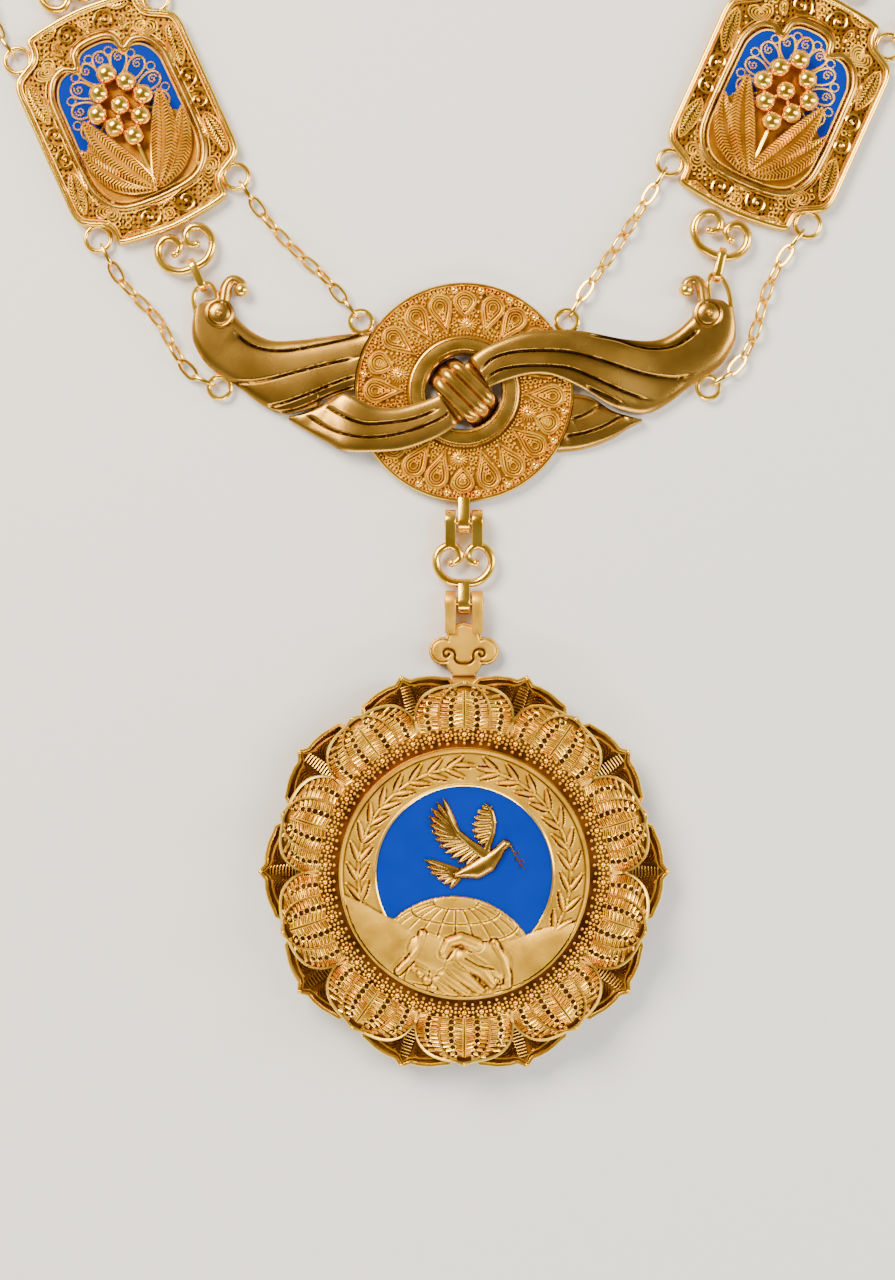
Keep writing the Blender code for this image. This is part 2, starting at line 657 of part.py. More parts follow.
def band_skin(sections, low, high, size, centre, mirror=1.0, flip=1.0):
    """A ridged band through sections; low and high give its two faces along its length."""
    count = len(sections) - 1

    def place(u, v, height):
        step = min(int(v * count), count - 1)
        share = v * count - step
        row_a, row_b = sections[step], sections[step + 1]
        lines = [0.0, row_a[2] + (row_b[2] - row_a[2]) * share, row_a[3] + (row_b[3] - row_a[3]) * share, 1.0]
        knots = [lines[0], (lines[0] + lines[1]) / 2, lines[1], (lines[1] + lines[2]) / 2, lines[2],
                 (lines[2] + lines[3]) / 2, lines[3]]
        w = knots[round(u * 6)]
        x0 = row_a[0][0] + (row_b[0][0] - row_a[0][0]) * share
        y0 = row_a[0][1] + (row_b[0][1] - row_a[0][1]) * share
        x1 = row_a[1][0] + (row_b[1][0] - row_a[1][0]) * share
        y1 = row_a[1][1] + (row_b[1][1] - row_a[1][1]) * share
        x = (x0 + (x1 - x0) * w) * size * mirror
        y = (y0 + (y1 - y0) * w) * size * flip
        return Vector((centre[0] + x, centre[1] + y, height))

    def top(u, v):
        crown = (0.0, 1.0, 0.72, 1.0, 0.72, 1.0, 0.0)[round(u * 6)]
        edge, crest = high(v)
        return place(u, v, edge + (crest - edge) * crown)

    return skin(6, count, top, lambda u, v: place(u, v, low(v)))


def build_badge(carrier, finishes):
    """Back, drum, two tiers of petals, medallion, enamel and dove."""
    drum_low = BACK_THICKNESS + GAP
    drum_high = drum_low + DRUM_HEIGHT
    add_piece("badge_back", disc(BACK_RADIUS, 0.0, BACK_THICKNESS, 40), finishes["matte"], carrier)
    drum = turned([(DRUM_RADIUS, drum_low), (DRUM_RADIUS, drum_high), (DRUM_RADIUS - DRUM_WALL, drum_high),
                   (DRUM_RADIUS - DRUM_WALL, drum_low)], 30)
    add_piece("badge_drum", drum, finishes["polished"], carrier)
    top = math.pi / 2.0
    outer = petal_tier(OUTER_TIP_RADIUS, pointed_outline, outer_height, top + math.pi / PETALS)
    add_piece("lotus_outer_tier", outer, finishes["filigree"], carrier)
    inner = petal_tier(INNER_TIP_RADIUS, rounded_outline, inner_height, top)
    add_piece("lotus_inner_tier", inner, finishes["filigree"], carrier)
    granule_z = drum_high + 2.0 * GAP + INNER_PETAL_RISE * 0.45 + GRANULE_RING_WIRE / 2.0
    granules = ring((0.0, 0.0, granule_z), GRANULE_RING_RADIUS, GRANULE_RING_WIRE, 30)
    add_piece("granule_ring", granules, finishes["filigree"], carrier)
    build_medallion(drum_high + GAP, carrier, finishes)


def medallion_point(shares):
    """A point of the medallion's figures."""
    return (shares[0] * MEDALLION_RADIUS, shares[1] * MEDALLION_RADIUS)


def arc(centre, radius, start, stop, steps):
    """Points along an arc, ends included, angles in radians."""
    return [(centre[0] + radius * math.cos(start + (stop - start) * i / steps),
             centre[1] + radius * math.sin(start + (stop - start) * i / steps)) for i in range(steps + 1)]


def globe_arc(extra):
    """The globe's rounded top between the two arms, grown by extra."""
    centre = medallion_point(GLOBE_CENTRE)
    radius = GLOBE_RADIUS * MEDALLION_RADIUS + extra
    return arc(centre, radius, math.radians(131.0), math.radians(34.5), 12)


def build_medallion(low, carrier, finishes):
    """Struck disc with its figures, the enamel in its recess, and the dove."""
    field = low + MEDALLION_THICKNESS
    floor = field - RECESS_DEPTH
    rim = field + MEDALLION_RIM
    body = turned([(0.0, low), (MEDALLION_RADIUS, low), (MEDALLION_RADIUS, rim),
                   (MEDALLION_RADIUS - RIM_WIDTH, rim), (MEDALLION_RADIUS - 1.1 * RIM_WIDTH, field),
                   (ENAMEL_RADIUS, field), (ENAMEL_RADIUS, floor), (0.0, floor)], 36)
    edge = MEDALLION_RADIUS - 0.5 * MM
    left_angle = math.pi - math.asin(LEFT_ARM[0][1] * MEDALLION_RADIUS / edge)
    right_angle = 2.0 * math.pi + math.asin(RIGHT_ARM[1][1] * MEDALLION_RADIUS / edge)
    ground = arc((0.0, 0.0), edge, left_angle, right_angle, 18)
    ground += [medallion_point(RIGHT_ARM[0])] + list(reversed(globe_arc(0.0)))
    parts = [body, slab(ground, floor - 0.4 * MM, field + 0.3 * MM)]
    parts += [figure_skin(rows, field, lift) for rows, lift in
              ((LEFT_ARM_SECTIONS, 0.8), (RIGHT_ARM_SECTIONS, 0.8), (HAND_SECTIONS, 1.0))]
    parts.append(gather(wreath_leaves(field)))
    add_piece("medallion", combine(parts), finishes["matte"], carrier)

    inner = ENAMEL_RADIUS - GAP
    enamel_arc = arc((0.0, 0.0), inner, math.radians(-41.0), math.radians(208.0), 28)
    lower = [point for point in globe_arc(GAP) if math.hypot(*point) < inner - 0.5 * MM]
    enamel_low = floor + GAP
    add_piece("enamel_field", slab(enamel_arc + lower, enamel_low, enamel_low + ENAMEL_THICKNESS),
              finishes["enamel"], carrier)
    dove_low = enamel_low + ENAMEL_THICKNESS + GAP
    shapes = []
    for i, outline in enumerate((DOVE_BODY, DOVE_LEFT_WING, DOVE_RIGHT_WING, DOVE_TAIL)):
        points = [(x * ENAMEL_RADIUS, y * ENAMEL_RADIUS) for x, y in outline]
        shapes.append(slab(points, dove_low, dove_low + DOVE_THICKNESS * (1.0 - 0.06 * i)))
    add_piece("dove", combine(shapes), finishes["polished"], carrier)


def figure_skin(rows, field, lift):
    """A rounded limb of the relief through a few cross lines."""
    def place(u, v, height):
        step = min(int(v * (len(rows) - 1)), len(rows) - 2)
        share = v * (len(rows) - 1) - step
        a = Vector(rows[step][0]).lerp(Vector(rows[step + 1][0]), share)
        b = Vector(rows[step][1]).lerp(Vector(rows[step + 1][1]), share)
        flat = a.lerp(b, u) * MEDALLION_RADIUS
        return Vector((flat.x, flat.y, height))

    def top(u, v):
        return place(u, v, field + 0.35 * MM + lift * MM * math.sin(math.pi * u))

    return skin(4, len(rows) - 1, top, lambda u, v: place(u, v, field - 0.3 * MM))


def wreath_leaves(field):
    """Pairs of pointed leaves up each side of the medallion."""
    leaves = []
    for side in (1.0, -1.0):
        for i in range(WREATH_PAIRS):
            angle = math.radians(-12.0 + 96.0 * i / (WREATH_PAIRS - 1))
            for offset, splay in ((LEAF_SPREAD, -0.42), (-LEAF_SPREAD, 0.42)):
                radius = WREATH_RADIUS + offset
                place = Vector((side * radius * math.cos(angle), radius * math.sin(angle), field))
                heading = angle + math.pi / 2.0 + splay
                if side < 0.0:
                    heading = math.pi - heading
                leaves.append(leaf_lozenge(place, heading))
    return leaves


def leaf_lozenge(place, heading):
    """A small leaf as a low ridge, half sunk in the field."""
    bm = bmesh.new()
    bmesh.ops.create_cone(bm, cap_ends=True, segments=4, radius1=0.5, radius2=0.0, depth=1.0)
    stretch = Matrix.Diagonal((LEAF_LENGTH, LEAF_WIDTH, LEAF_HEIGHT, 1.0))
    return turn_bm(bm, Matrix.Translation(place) @ Matrix.Rotation(heading, 4, "Z") @ stretch)


def lug_pair(axis_y, inner_half, y_end, sides=12):
    """Two lugs with the pin through them, reaching from the axis to y_end."""
    parts = []
    low, high = sorted((axis_y, y_end))
    for side in (1.0, -1.0):
        x_low, x_high = sorted((side * inner_half, side * (inner_half + LUG_WIDTH)))
        parts.append(cross_pin(KNUCKLE_RADIUS, x_low, x_high, axis_y, HINGE_HEIGHT, sides))
        parts.append(block((x_low, low, HINGE_HEIGHT - STRAP_THICKNESS / 2.0),
                           (x_high, high, HINGE_HEIGHT + STRAP_THICKNESS / 2.0)))
    pin_half = inner_half + LUG_WIDTH * 0.5
    parts.append(cross_pin(PIN_RADIUS, -pin_half, pin_half, axis_y, HINGE_HEIGHT, 10))
    return parts


def tongue(axis_y, y_end):
    """A tongue with a bored knuckle on the hinge's axis, reaching to y_end."""
    half = TONGUE_WIDTH / 2.0
    low, high = sorted((axis_y, y_end))
    body = combine([cross_pin(KNUCKLE_RADIUS, -half, half, axis_y, HINGE_HEIGHT),
                    block((-half, low, HINGE_HEIGHT - STRAP_THICKNESS / 2.0),
                          (half, high, HINGE_HEIGHT + STRAP_THICKNESS / 2.0))])
    bore = cross_pin(PIN_RADIUS + PIN_CLEARANCE, -half - MM, half + MM, axis_y, HINGE_HEIGHT, 10)
    return combine([body, bore], "DIFFERENCE")


def build_connector(carrier, finishes):
    """Two lugs with their pin, a scroll ring and the tongue of the lower hinge."""
    scroll_top = SCROLL_Y + SCROLL_DEPTH * SCROLL_HALF_WIDTH
    parts = [scroll_body(SCROLL_Y, HINGE_HEIGHT)]
    parts += lug_pair(UPPER_HINGE_Y, FORK_HALF, scroll_top - 0.4 * MM)
    parts.append(tongue(LOWER_HINGE_Y, SCROLL_Y - SCROLL_DEPTH * SCROLL_HALF_WIDTH))
    add_piece("scroll_connector", combine(parts), finishes["polished"], carrier)


def build_bail(carrier, finishes):
    """Cloud-shaped bail with its lugs, down to the badge's back."""
    low = GAP
    high = low + CLOUD_THICKNESS
    parts = [disc(CLOUD_DOME_RADIUS, low, high, 20, (0.0, CLOUD_Y))]
    for side in (1.0, -1.0):
        centre = (side * CLOUD_LOBE_REACH, CLOUD_Y - CLOUD_LOBE_DROP)
        parts.append(disc(CLOUD_LOBE_RADIUS, low, high - 0.1 * MM, 16, centre))
    foot_y = CLOUD_Y - CLOUD_LOBE_DROP
    foot = CLOUD_FOOT_WIDTH / 2.0
    neck = BAIL_NECK_WIDTH / 2.0
    root = BACK_RADIUS + GAP
    waist = OUTER_TIP_RADIUS - BAIL_WAIST
    parts.append(slab([(-foot, foot_y), (-neck, waist), (neck, waist), (foot, foot_y)],
                      low, high - 0.2 * MM))
    parts.append(slab([(-neck, waist + 0.5 * MM), (-neck, root), (neck, root), (neck, waist + 0.5 * MM)],
                      0.05 * MM, BAIL_NECK_THICKNESS))
    parts += lug_pair(LOWER_HINGE_Y, FORK_HALF, CLOUD_Y)
    add_piece("cloud_bail", combine(parts), finishes["matte"], carrier)


def build_knot(finishes):
    """Filigree disc, plain ring and ridged strap."""
    centre = Matrix.Translation((0.0, KNOT_Y, 0.0))
    plate = turned([(WINDOW_RADIUS, 0.0), (KNOT_RADIUS, 0.0), (KNOT_RADIUS, DISC_TOP),
                    (KNOT_RADIUS - 0.7 * MM, DISC_TOP), (KNOT_RADIUS - 0.8 * MM, KNOT_THICKNESS),
                    (WINDOW_RADIUS, KNOT_THICKNESS)], 40)
    drops = []
    for i in range(TEARDROPS):
        turn = FIRST_TEARDROP - 2.0 * math.pi * i / TEARDROPS
        if i >= TEARDROPS_SHOWN and (turn - BAND_HIDES_FROM) % math.pi < BAND_HIDES:
            continue
        drops.append(teardrop(turn))
    body = combine([turn_bm(plate, centre), turn_bm(gather(drops), centre),
                    tongue(UPPER_HINGE_Y, KNOT_Y - KNOT_RADIUS + 0.6 * MM)])
    add_piece("knot_disc", body, finishes["filigree"])
    plain = turned([(WINDOW_RADIUS, RING_LOW), (KNOT_RING_RADIUS, RING_LOW),
                    (KNOT_RING_RADIUS, RING_LOW + KNOT_RING_THICKNESS),
                    (WINDOW_RADIUS, RING_LOW + KNOT_RING_THICKNESS)], 30)
    add_piece("knot_ring", turn_bm(plain, centre), finishes["satin"])
    add_piece("knot_strap", turn_bm(strap_body(), centre), finishes["satin"])


def teardrop(turn):
    """A raised teardrop of the disc, its point towards the middle."""
    points = []
    for i in range(7):
        angle = 2.0 * math.pi * i / 7
        taper = 0.5 + 0.5 * math.cos(angle)
        points.append((TEARDROP_RADIUS + TEARDROP_LENGTH / 2.0 * math.cos(angle),
                       TEARDROP_WIDTH / 2.0 * math.sin(angle) * (0.35 + 0.65 * taper)))
    body = slab(points, KNOT_THICKNESS - 0.4 * MM, KNOT_THICKNESS + TEARDROP_RISE)
    return turn_bm(body, Matrix.Rotation(turn, 4, "Z"))


def strap_body():
    """The ridged strap across the knot, over the band, from upper left to lower right."""
    reach = WINDOW_RADIUS - GAP
    across = Vector((1.0, 1.0, 0.0)).normalized()
    along = Vector((1.0, -1.0, 0.0)).normalized()

    def place(u, v, height):
        width = (u - 0.5) * 2.0 * STRAP_HALF_WIDTH
        length = math.sqrt(max(0.0, reach ** 2 - width ** 2)) * (2.0 * v - 1.0)
        flat = across * width + along * length
        return Vector((flat.x, flat.y, height))

    def hump(v):
        return STRAP_LOW * max(0.0, 1.0 - (2.0 * v - 1.0) ** 6)

    def top(u, v):
        crown = (0.0, 1.0, 0.5, 1.0, 0.5, 1.0, 0.0)[round(u * 6)]
        return place(u, v, hump(v) + 0.8 * MM + 0.5 * MM * crown)

    return skin(6, 8, top, lambda u, v: place(u, v, hump(v)))


def band_levels(row):
    """Height of the band's underside, edge and crest, so many sections from the knot's middle."""
    rise = max(0.0, min(1.0, row - 1.0))
    fall = max(0.0, min(1.0, row - 6.0))
    low = BAND_UNDER + (BAND_OVER - BAND_UNDER) * rise
    edge = low + BAND_THICKNESS - BAND_CROWN
    return (low * (1.0 - fall), edge * (1.0 - fall) + WING_EDGE * fall,
            (edge + BAND_CROWN) * (1.0 - fall) + WING_THICKNESS * fall)


def rim_cutter():
    """What the disc's rim takes out of the wings that butt against it."""
    return disc(KNOT_RADIUS + GAP, -MM, WING_THICKNESS + MM, 40, (0.0, KNOT_Y))


def build_wings(finishes):
    """The bands tied in the knot and the wings that they open into."""
    centre = (0.0, KNOT_Y)
    turned_rows = [((-x1, -y1), (-x0, -y0), 1.0 - second, 1.0 - first)
                   for (x0, y0), (x1, y1), first, second in BAND_SECTIONS[1:] + BAND_TAIL]
    full = list(reversed(turned_rows)) + BAND_SECTIONS + WING_SECTIONS
    middle = len(turned_rows)
    steps = len(full) - 1

    def band_low(v):
        return band_levels(abs(v * steps - middle))[0]

    def band_high(v):
        return band_levels(abs(v * steps - middle))[1:]

    band = band_skin(full, band_low, band_high, WING_REACH, centre)
    add_piece("right_wing_band", combine([band] + wing_fittings(1.0)), finishes["satin"])

    root = LEFT_WING_ROOT + WING_SECTIONS
    left_wing = band_skin(root, lambda v: 0.0, lambda v: (WING_EDGE, WING_THICKNESS), WING_REACH,
                          centre, -1.0)
    left_wing = combine([left_wing, rim_cutter()], "DIFFERENCE")
    add_piece("left_wing", combine([left_wing] + wing_fittings(-1.0)), finishes["satin"])
    lower = band_skin(LOWER_WING_SECTIONS, lambda v: 0.0, lambda v: (WING_EDGE, WING_THICKNESS - 0.4 * MM),
                      WING_REACH, centre)
    add_piece("right_lower_wing", combine([lower, rim_cutter()], "DIFFERENCE"), finishes["satin"])


def bearing(side, end):
    """Where a jump link bears on one of a plaque's scroll links, and the way it leads from there."""
    place, up = plaque_axes(side)
    across = Vector((up.y, -up.x))
    shift = BEARING_SHIFT if side > 0.0 > end else 0.0
    reach = scroll_offset() + (SCROLL_DEPTH - 0.5 * SCROLL_BOW * shift * shift) * SCROLL_HALF_WIDTH
    point = place + up * end * reach + across * shift * SCROLL_HALF_WIDTH
    return point, (up * end + across * SCROLL_BOW * shift).normalized()


def jump_grip(wire):
    """From the scroll's wire to the other wire that a jump link holds, middle to middle."""
    return JUMP_LENGTH - 2.0 * JUMP_THICKNESS - 2.0 * GAP - (SCROLL_WIRE + wire) / 2.0


def hang_point(side):
    """Middle of the wire at the top of a wing's hang loop, where the jump link bears."""
    point, way = bearing(side, -1.0)
    return point + way * jump_grip(RING_WIRE)


def hang_middle(side):
    """Point on the wing midway between the feet of its hang loop."""
    feet = [Vector(point_at((0.0, KNOT_Y), place, WING_REACH, side)) for place in HANG_LOOP_FEET]
    return (feet[0] + feet[1]) / 2.0


def plaque_place(side):
    """Centre of a plaque."""
    out, up = (RIGHT_PLAQUE_OUT, RIGHT_PLAQUE_UP) if side > 0.0 else (LEFT_PLAQUE_OUT, LEFT_PLAQUE_UP)
    return hang_middle(side) + Vector((side * out, up))


def plaque_axes(side):
    """Centre of a plaque and the direction of its top."""
    return plaque_place(side), Vector((side * math.sin(PLAQUE_TILT), math.cos(PLAQUE_TILT)))


def wing_fittings(side):
    """Boss, hook with its ball, hang loop and the two chain rings of one wing."""
    centre = (0.0, KNOT_Y)
    size = WING_REACH
    boss = point_at(centre, BOSS_CENTRE, size, side)
    parts = [disc(BOSS_RADIUS, BOSS_FOOT, WING_THICKNESS + BOSS_RISE, 18, boss)]
    hook = [point_at(centre, place, size, side) for place in HOOK_PATH]
    points = [(x, y, LINK_BAND_HEIGHT) for x, y in hook]
    parts.append(wire(points, [HOOK_WIRE / 2.0] * len(points)))
    parts.append(ball((*hook[-1], LINK_BAND_HEIGHT), HOOK_BALL / 2.0, 10, 4))
    top = hang_point(side)
    middle = hang_middle(side)
    spread = Vector(point_at(centre, HANG_LOOP_FEET[1], size, side)) - middle
    loop = []
    for i in range(7):
        angle = math.pi * i / 6
        place = middle - spread * math.cos(angle) + (top - middle) * math.sin(angle) ** 0.5
        loop.append((place.x, place.y, LINK_BAND_HEIGHT))
    parts.append(wire(loop, [RING_WIRE / 2.0] * len(loop)))
    for place in (top_ring(side), side_ring(side)):
        parts.append(ring(place, WING_RING_RADIUS, RING_WIRE))
    x, y, height = top_ring(side)
    foot_top = BAND_OVER + BAND_THICKNESS / 2.0 if side > 0.0 else WING_EDGE
    parts.append(disc(RING_FOOT_RADIUS, height - RING_WIRE / 2.0, foot_top, 8,
                      (x, y - WING_RING_RADIUS - RING_WIRE / 2.0)))
    return parts


def top_ring(side):
    """Centre of the chain ring that stands on a wing's upper edge."""
    rows = BAND_SECTIONS if side > 0.0 else LEFT_WING_ROOT
    edge = [row[0] for row in rows]
    for (x0, y0), (x1, y1) in zip(edge, edge[1:]):
        if x0 <= WING_TOP_RING <= x1:
            y = y0 + (y1 - y0) * (WING_TOP_RING - x0) / (x1 - x0)
    lift = WING_RING_RADIUS + RING_WIRE / 2.0 - RING_FOOT_DEPTH
    return Vector((side * WING_TOP_RING * WING_REACH, KNOT_Y + y * WING_REACH + lift, CHAIN_HEIGHT))


def side_ring(side):
    """Centre of the chain ring at a wing's outer edge."""
    return Vector((*point_at((0.0, KNOT_Y), WING_SIDE_RING, WING_REACH, side), CHAIN_HEIGHT))


def plaque_matrix(side):
    """Placement of a plaque."""
    return Matrix.Translation((*plaque_place(side), 0.0)) @ Matrix.Rotation(-side * PLAQUE_TILT, 4, "Z")


def build_plaque(name, side, finishes):
    """Frame with its rings, enamel, leaves, berries and the two scroll links."""
    matrix = plaque_matrix(side)
    parts = [slab(plaque_outline(), 0.0, PLAQUE_THICKNESS)]
    for ring_side in (1.0, -1.0):
        for end in (1.0, -1.0):
            x, y = plaque_ring_place(ring_side, end)
            parts.append(ring((x, y, CHAIN_HEIGHT), PLAQUE_RING_RADIUS, RING_WIRE))
    body = combine(parts)
    body = combine([body, slab(panel_outline(0.0), PLAQUE_FLOOR, PLAQUE_THICKNESS + MM)], "DIFFERENCE")
    add_piece(name + "_plaque_frame", body, finishes["filigree"], matrix=matrix)
    low = PLAQUE_FLOOR + GAP
    add_piece(name + "_plaque_enamel", slab(panel_outline(GAP), low, low + ENAMEL_SHEET),
              finishes["enamel"], matrix=matrix)
    spray_low = low + ENAMEL_SHEET + GAP
    root = (0.0, LEAF_ROOT_Y * PANEL_HALF_HEIGHT)
    leaves = []
    for x, y, width in PLAQUE_LEAVES:
        tip = (x * PANEL_HALF_WIDTH, y * PANEL_HALF_HEIGHT)
        leaves.append(leaf_blade(root, tip, width * PANEL_HALF_WIDTH, spray_low, spray_low + 1.6 * MM))
    pad = disc(1.4 * MM, spray_low, spray_low + SPRAY_THICKNESS, 10, (0.0, root[1] + 0.6 * MM))
    add_piece(name + "_plaque_leaves", combine(leaves + [pad]), finishes["filigree"], matrix=matrix)
    bunch = []
    for column, row in BERRY_STEPS:
        x, y = column * BERRY_PITCH, row * BERRY_PITCH + BUNCH_Y * PANEL_HALF_HEIGHT
        bunch.append(dome((x, y, spray_low + BERRY_RADIUS), BERRY_RADIUS))
    stem = [(column * BERRY_PITCH, row * BERRY_PITCH + BUNCH_Y * PANEL_HALF_HEIGHT)
            for column, row in (BERRY_STEPS[0], BERRY_STEPS[3], BERRY_STEPS[8], BERRY_STEPS[5])]
    stalk = slab(stem, spray_low + 0.5 * MM, spray_low + 0.5 * MM + SPRAY_THICKNESS)
    add_piece(name + "_plaque_berries", combine([stalk, gather(bunch)]), finishes["polished"],
              matrix=matrix)
    offset = scroll_offset()
    turn_over = Matrix.Rotation(math.pi, 4, "Z")
    add_piece(name + "_lower_scroll", scroll_body(-offset, LINK_BAND_HEIGHT), finishes["polished"],
              matrix=matrix)
    add_piece(name + "_upper_scroll", scroll_body(-offset, LINK_BAND_HEIGHT), finishes["polished"],
              matrix=matrix @ turn_over)


def gather_place(side):
    """Centre of the ring that gathers the strands above a plaque."""
    point, way = bearing(side, 1.0)
    return point + way * (jump_grip(GATHER_RING_WIRE) + GATHER_RING_RADIUS)


def build_jump_links(name, side, finishes):
    """The oval links in a plaque's two scroll links, and the ring that gathers the strands."""
    inset = SCROLL_WIRE / 2.0 + GAP + JUMP_THICKNESS
    for label, end in (("_jump_link", -1.0), ("_upper_jump_link", 1.0)):
        point, way = bearing(side, end)
        centre = point + way * (JUMP_LENGTH / 2.0 - inset)
        body = link_body(Vector((*centre, LINK_BAND_HEIGHT)), Vector((*way, 0.0)), math.pi / 2.0,
                         JUMP_LENGTH, JUMP_HEIGHT, JUMP_THICKNESS, JUMP_WIDTH, 10, 6)
        add_piece(name + label, body, finishes["polished"])
    centre = gather_place(side)
    add_piece(name + "_gather_ring", ring((*centre, LINK_BAND_HEIGHT), GATHER_RING_RADIUS,
                                          GATHER_RING_WIRE), finishes["polished"])


def corner_ring(side, ring_side, end):
    """Centre of a plaque's corner ring in the whole jewel."""
    place = plaque_matrix(side) @ Vector((*plaque_ring_place(ring_side, end), 0.0))
    return Vector((place.x, place.y, CHAIN_HEIGHT))


def add_strand(name, points, start_inset, stop_inset, material):
    """A chain as a plain round strand: a curve with a bevel and filled ends."""
    route = smooth_route(points)
    reach = route_length(route) - start_inset - stop_inset
    places = spaced(route, max(3, round(reach / (3.0 * CHAIN_TUBE)) + 1), start_inset, stop_inset)
    curve = bpy.data.curves.new(name, "CURVE")
    curve.dimensions = "3D"
    curve.bevel_depth = CHAIN_TUBE / 2.0
    curve.bevel_resolution = 2
    curve.use_fill_caps = True
    spline = curve.splines.new("POLY")
    spline.points.add(len(places) - 1)
    for point, place in zip(spline.points, places):
        point.co = (*place, 1.0)
    curve.materials.append(material)
    item = bpy.data.objects.new(name, curve)
    bpy.context.collection.objects.link(item)


def build_festoons(finishes):
    """The four chains between the plaques and the knot."""
    plaque_inset = PLAQUE_RING_RADIUS + RING_WIRE / 2.0 + GAP
    wing_inset = WING_RING_RADIUS + RING_WIRE / 2.0 + GAP
    ends = {
        "left_outer_festoon": (corner_ring(-1.0, -1.0, -1.0), side_ring(-1.0)),
        "left_inner_festoon": (corner_ring(-1.0, 1.0, -1.0), top_ring(-1.0)),
        "right_inner_festoon": (corner_ring(1.0, -1.0, -1.0), top_ring(1.0)),
        "right_outer_festoon": (corner_ring(1.0, 1.0, -1.0), side_ring(1.0)),
    }
    for name, (start, stop) in ends.items():
        chosen = [Vector((x * MM, y * MM, CHAIN_HEIGHT)) for x, y in FESTOON_ROUTES[name]]
        add_strand(name, [start, *chosen, stop], plaque_inset, wing_inset, finishes["chain"])


def build_neck(finishes):
    """The strands past the picture, up to the clasp."""
    clasp_reach = CLASP_LENGTH / 2.0 + 2.0 * GAP
    for name, side in (("left", -1.0), ("right", 1.0)):
        place, up = plaque_axes(side)
        across = Vector((up.y, -up.x)) * side
        hub = Vector((*gather_place(side), CHAIN_HEIGHT))
        for label, out in (("_outer_side_chain", 1.0), ("_inner_side_chain", -1.0)):
            start = corner_ring(side, side * out, 1.0)
            ways = []
            for rise, spread in STRAND_WAYS:
                flat = place + up * rise * PLAQUE_HALF_HEIGHT + across * out * spread * PLAQUE_HALF_WIDTH
                ways.append(Vector((*flat, CHAIN_HEIGHT)))
            add_strand(name + label, [start, *ways, hub], PLAQUE_RING_RADIUS + RING_WIRE / 2.0 + GAP,
                       GATHER_RING_RADIUS + GATHER_RING_WIRE / 2.0 + GAP, finishes["chain"])
        rise = NECK_TOP_Y - hub.y
        chosen = [Vector((side * x * NECK_HALF_WIDTH, hub.y + y * rise, CHAIN_HEIGHT))
                  for x, y in NECK_ROUTE]
        clasp_end = Vector((0.0, NECK_TOP_Y, CHAIN_HEIGHT))
        add_strand(name + "_neck_chain", [hub, *chosen, clasp_end],
                   GATHER_RING_RADIUS + GATHER_RING_WIRE / 2.0 + GAP, clasp_reach, finishes["chain"])
    body = turned([(0.0, -CLASP_LENGTH / 2.0), (CLASP_RADIUS * 0.6, -CLASP_LENGTH / 2.0),
                   (CLASP_RADIUS, -CLASP_LENGTH * 0.36), (CLASP_RADIUS, CLASP_LENGTH * 0.36),
                   (CLASP_RADIUS * 0.6, CLASP_LENGTH / 2.0), (0.0, CLASP_LENGTH / 2.0)], 12)
    matrix = Matrix.Translation((0.0, NECK_TOP_Y, CLASP_RADIUS)) @ Matrix.Rotation(math.pi / 2.0, 4, "Y")
    add_piece("neck_clasp", turn_bm(body, matrix), finishes["polished"])


def main():
    """Build the whole jewel."""
    clear_scene()
    finishes = {
        "filigree": metal("filigree gilt", (0.80, 0.45, 0.10), 0.35),
        "polished": metal("polished gilt", (0.83, 0.52, 0.14), 0.15),
        "satin": metal("satin gilt", (0.62, 0.40, 0.10), 0.32),
        "matte": metal("sandblasted gilt", (0.78, 0.55, 0.22), 0.5),
        "chain": metal("chain gilt", (0.82, 0.53, 0.18), 0.22),
        "enamel": finish("blue enamel", (0.004, 0.07, 0.48), 0.12, 0.0),
    }
    upper = add_carrier("upper_hinge_axis", Vector((0.0, UPPER_HINGE_Y, HINGE_HEIGHT)))
    lower = add_carrier("lower_hinge_axis", Vector((0.0, LOWER_HINGE_Y, HINGE_HEIGHT)), upper)
    build_badge(lower, finishes)
    build_bail(lower, finishes)
    build_connector(upper, finishes)
    build_knot(finishes)
    build_wings(finishes)
    for name, side in (("left", -1.0), ("right", 1.0)):
        build_plaque(name, side, finishes)
        build_jump_links(name, side, finishes)
    build_festoons(finishes)
    build_neck(finishes)


main()
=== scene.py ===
"""Finished look of the gilt award medal: a chain of office with a lotus badge, lying on its back."""
from math import asin, atan2, copysign, cos, degrees, exp, hypot, pi, radians, sin, sqrt

import bmesh
import bpy
import numpy as np
from mathutils import Matrix, Vector


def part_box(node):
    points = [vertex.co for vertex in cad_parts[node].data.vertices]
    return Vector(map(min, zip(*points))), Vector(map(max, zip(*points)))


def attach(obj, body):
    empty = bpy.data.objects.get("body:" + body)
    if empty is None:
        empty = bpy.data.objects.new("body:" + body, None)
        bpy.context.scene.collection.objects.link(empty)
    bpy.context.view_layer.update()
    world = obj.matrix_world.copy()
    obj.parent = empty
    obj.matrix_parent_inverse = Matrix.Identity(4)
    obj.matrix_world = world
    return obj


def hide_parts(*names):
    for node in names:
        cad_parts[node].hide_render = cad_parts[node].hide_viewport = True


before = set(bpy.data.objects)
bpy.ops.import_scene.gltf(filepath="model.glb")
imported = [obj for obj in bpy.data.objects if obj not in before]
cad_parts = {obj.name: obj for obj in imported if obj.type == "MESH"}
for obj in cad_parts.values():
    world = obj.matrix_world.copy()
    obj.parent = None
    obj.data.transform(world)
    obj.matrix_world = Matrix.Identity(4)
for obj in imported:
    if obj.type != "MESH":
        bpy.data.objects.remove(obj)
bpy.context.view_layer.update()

MM = 0.001
TURN = 2 * pi
SIDES = ((-1, "left"), (1, "right"))

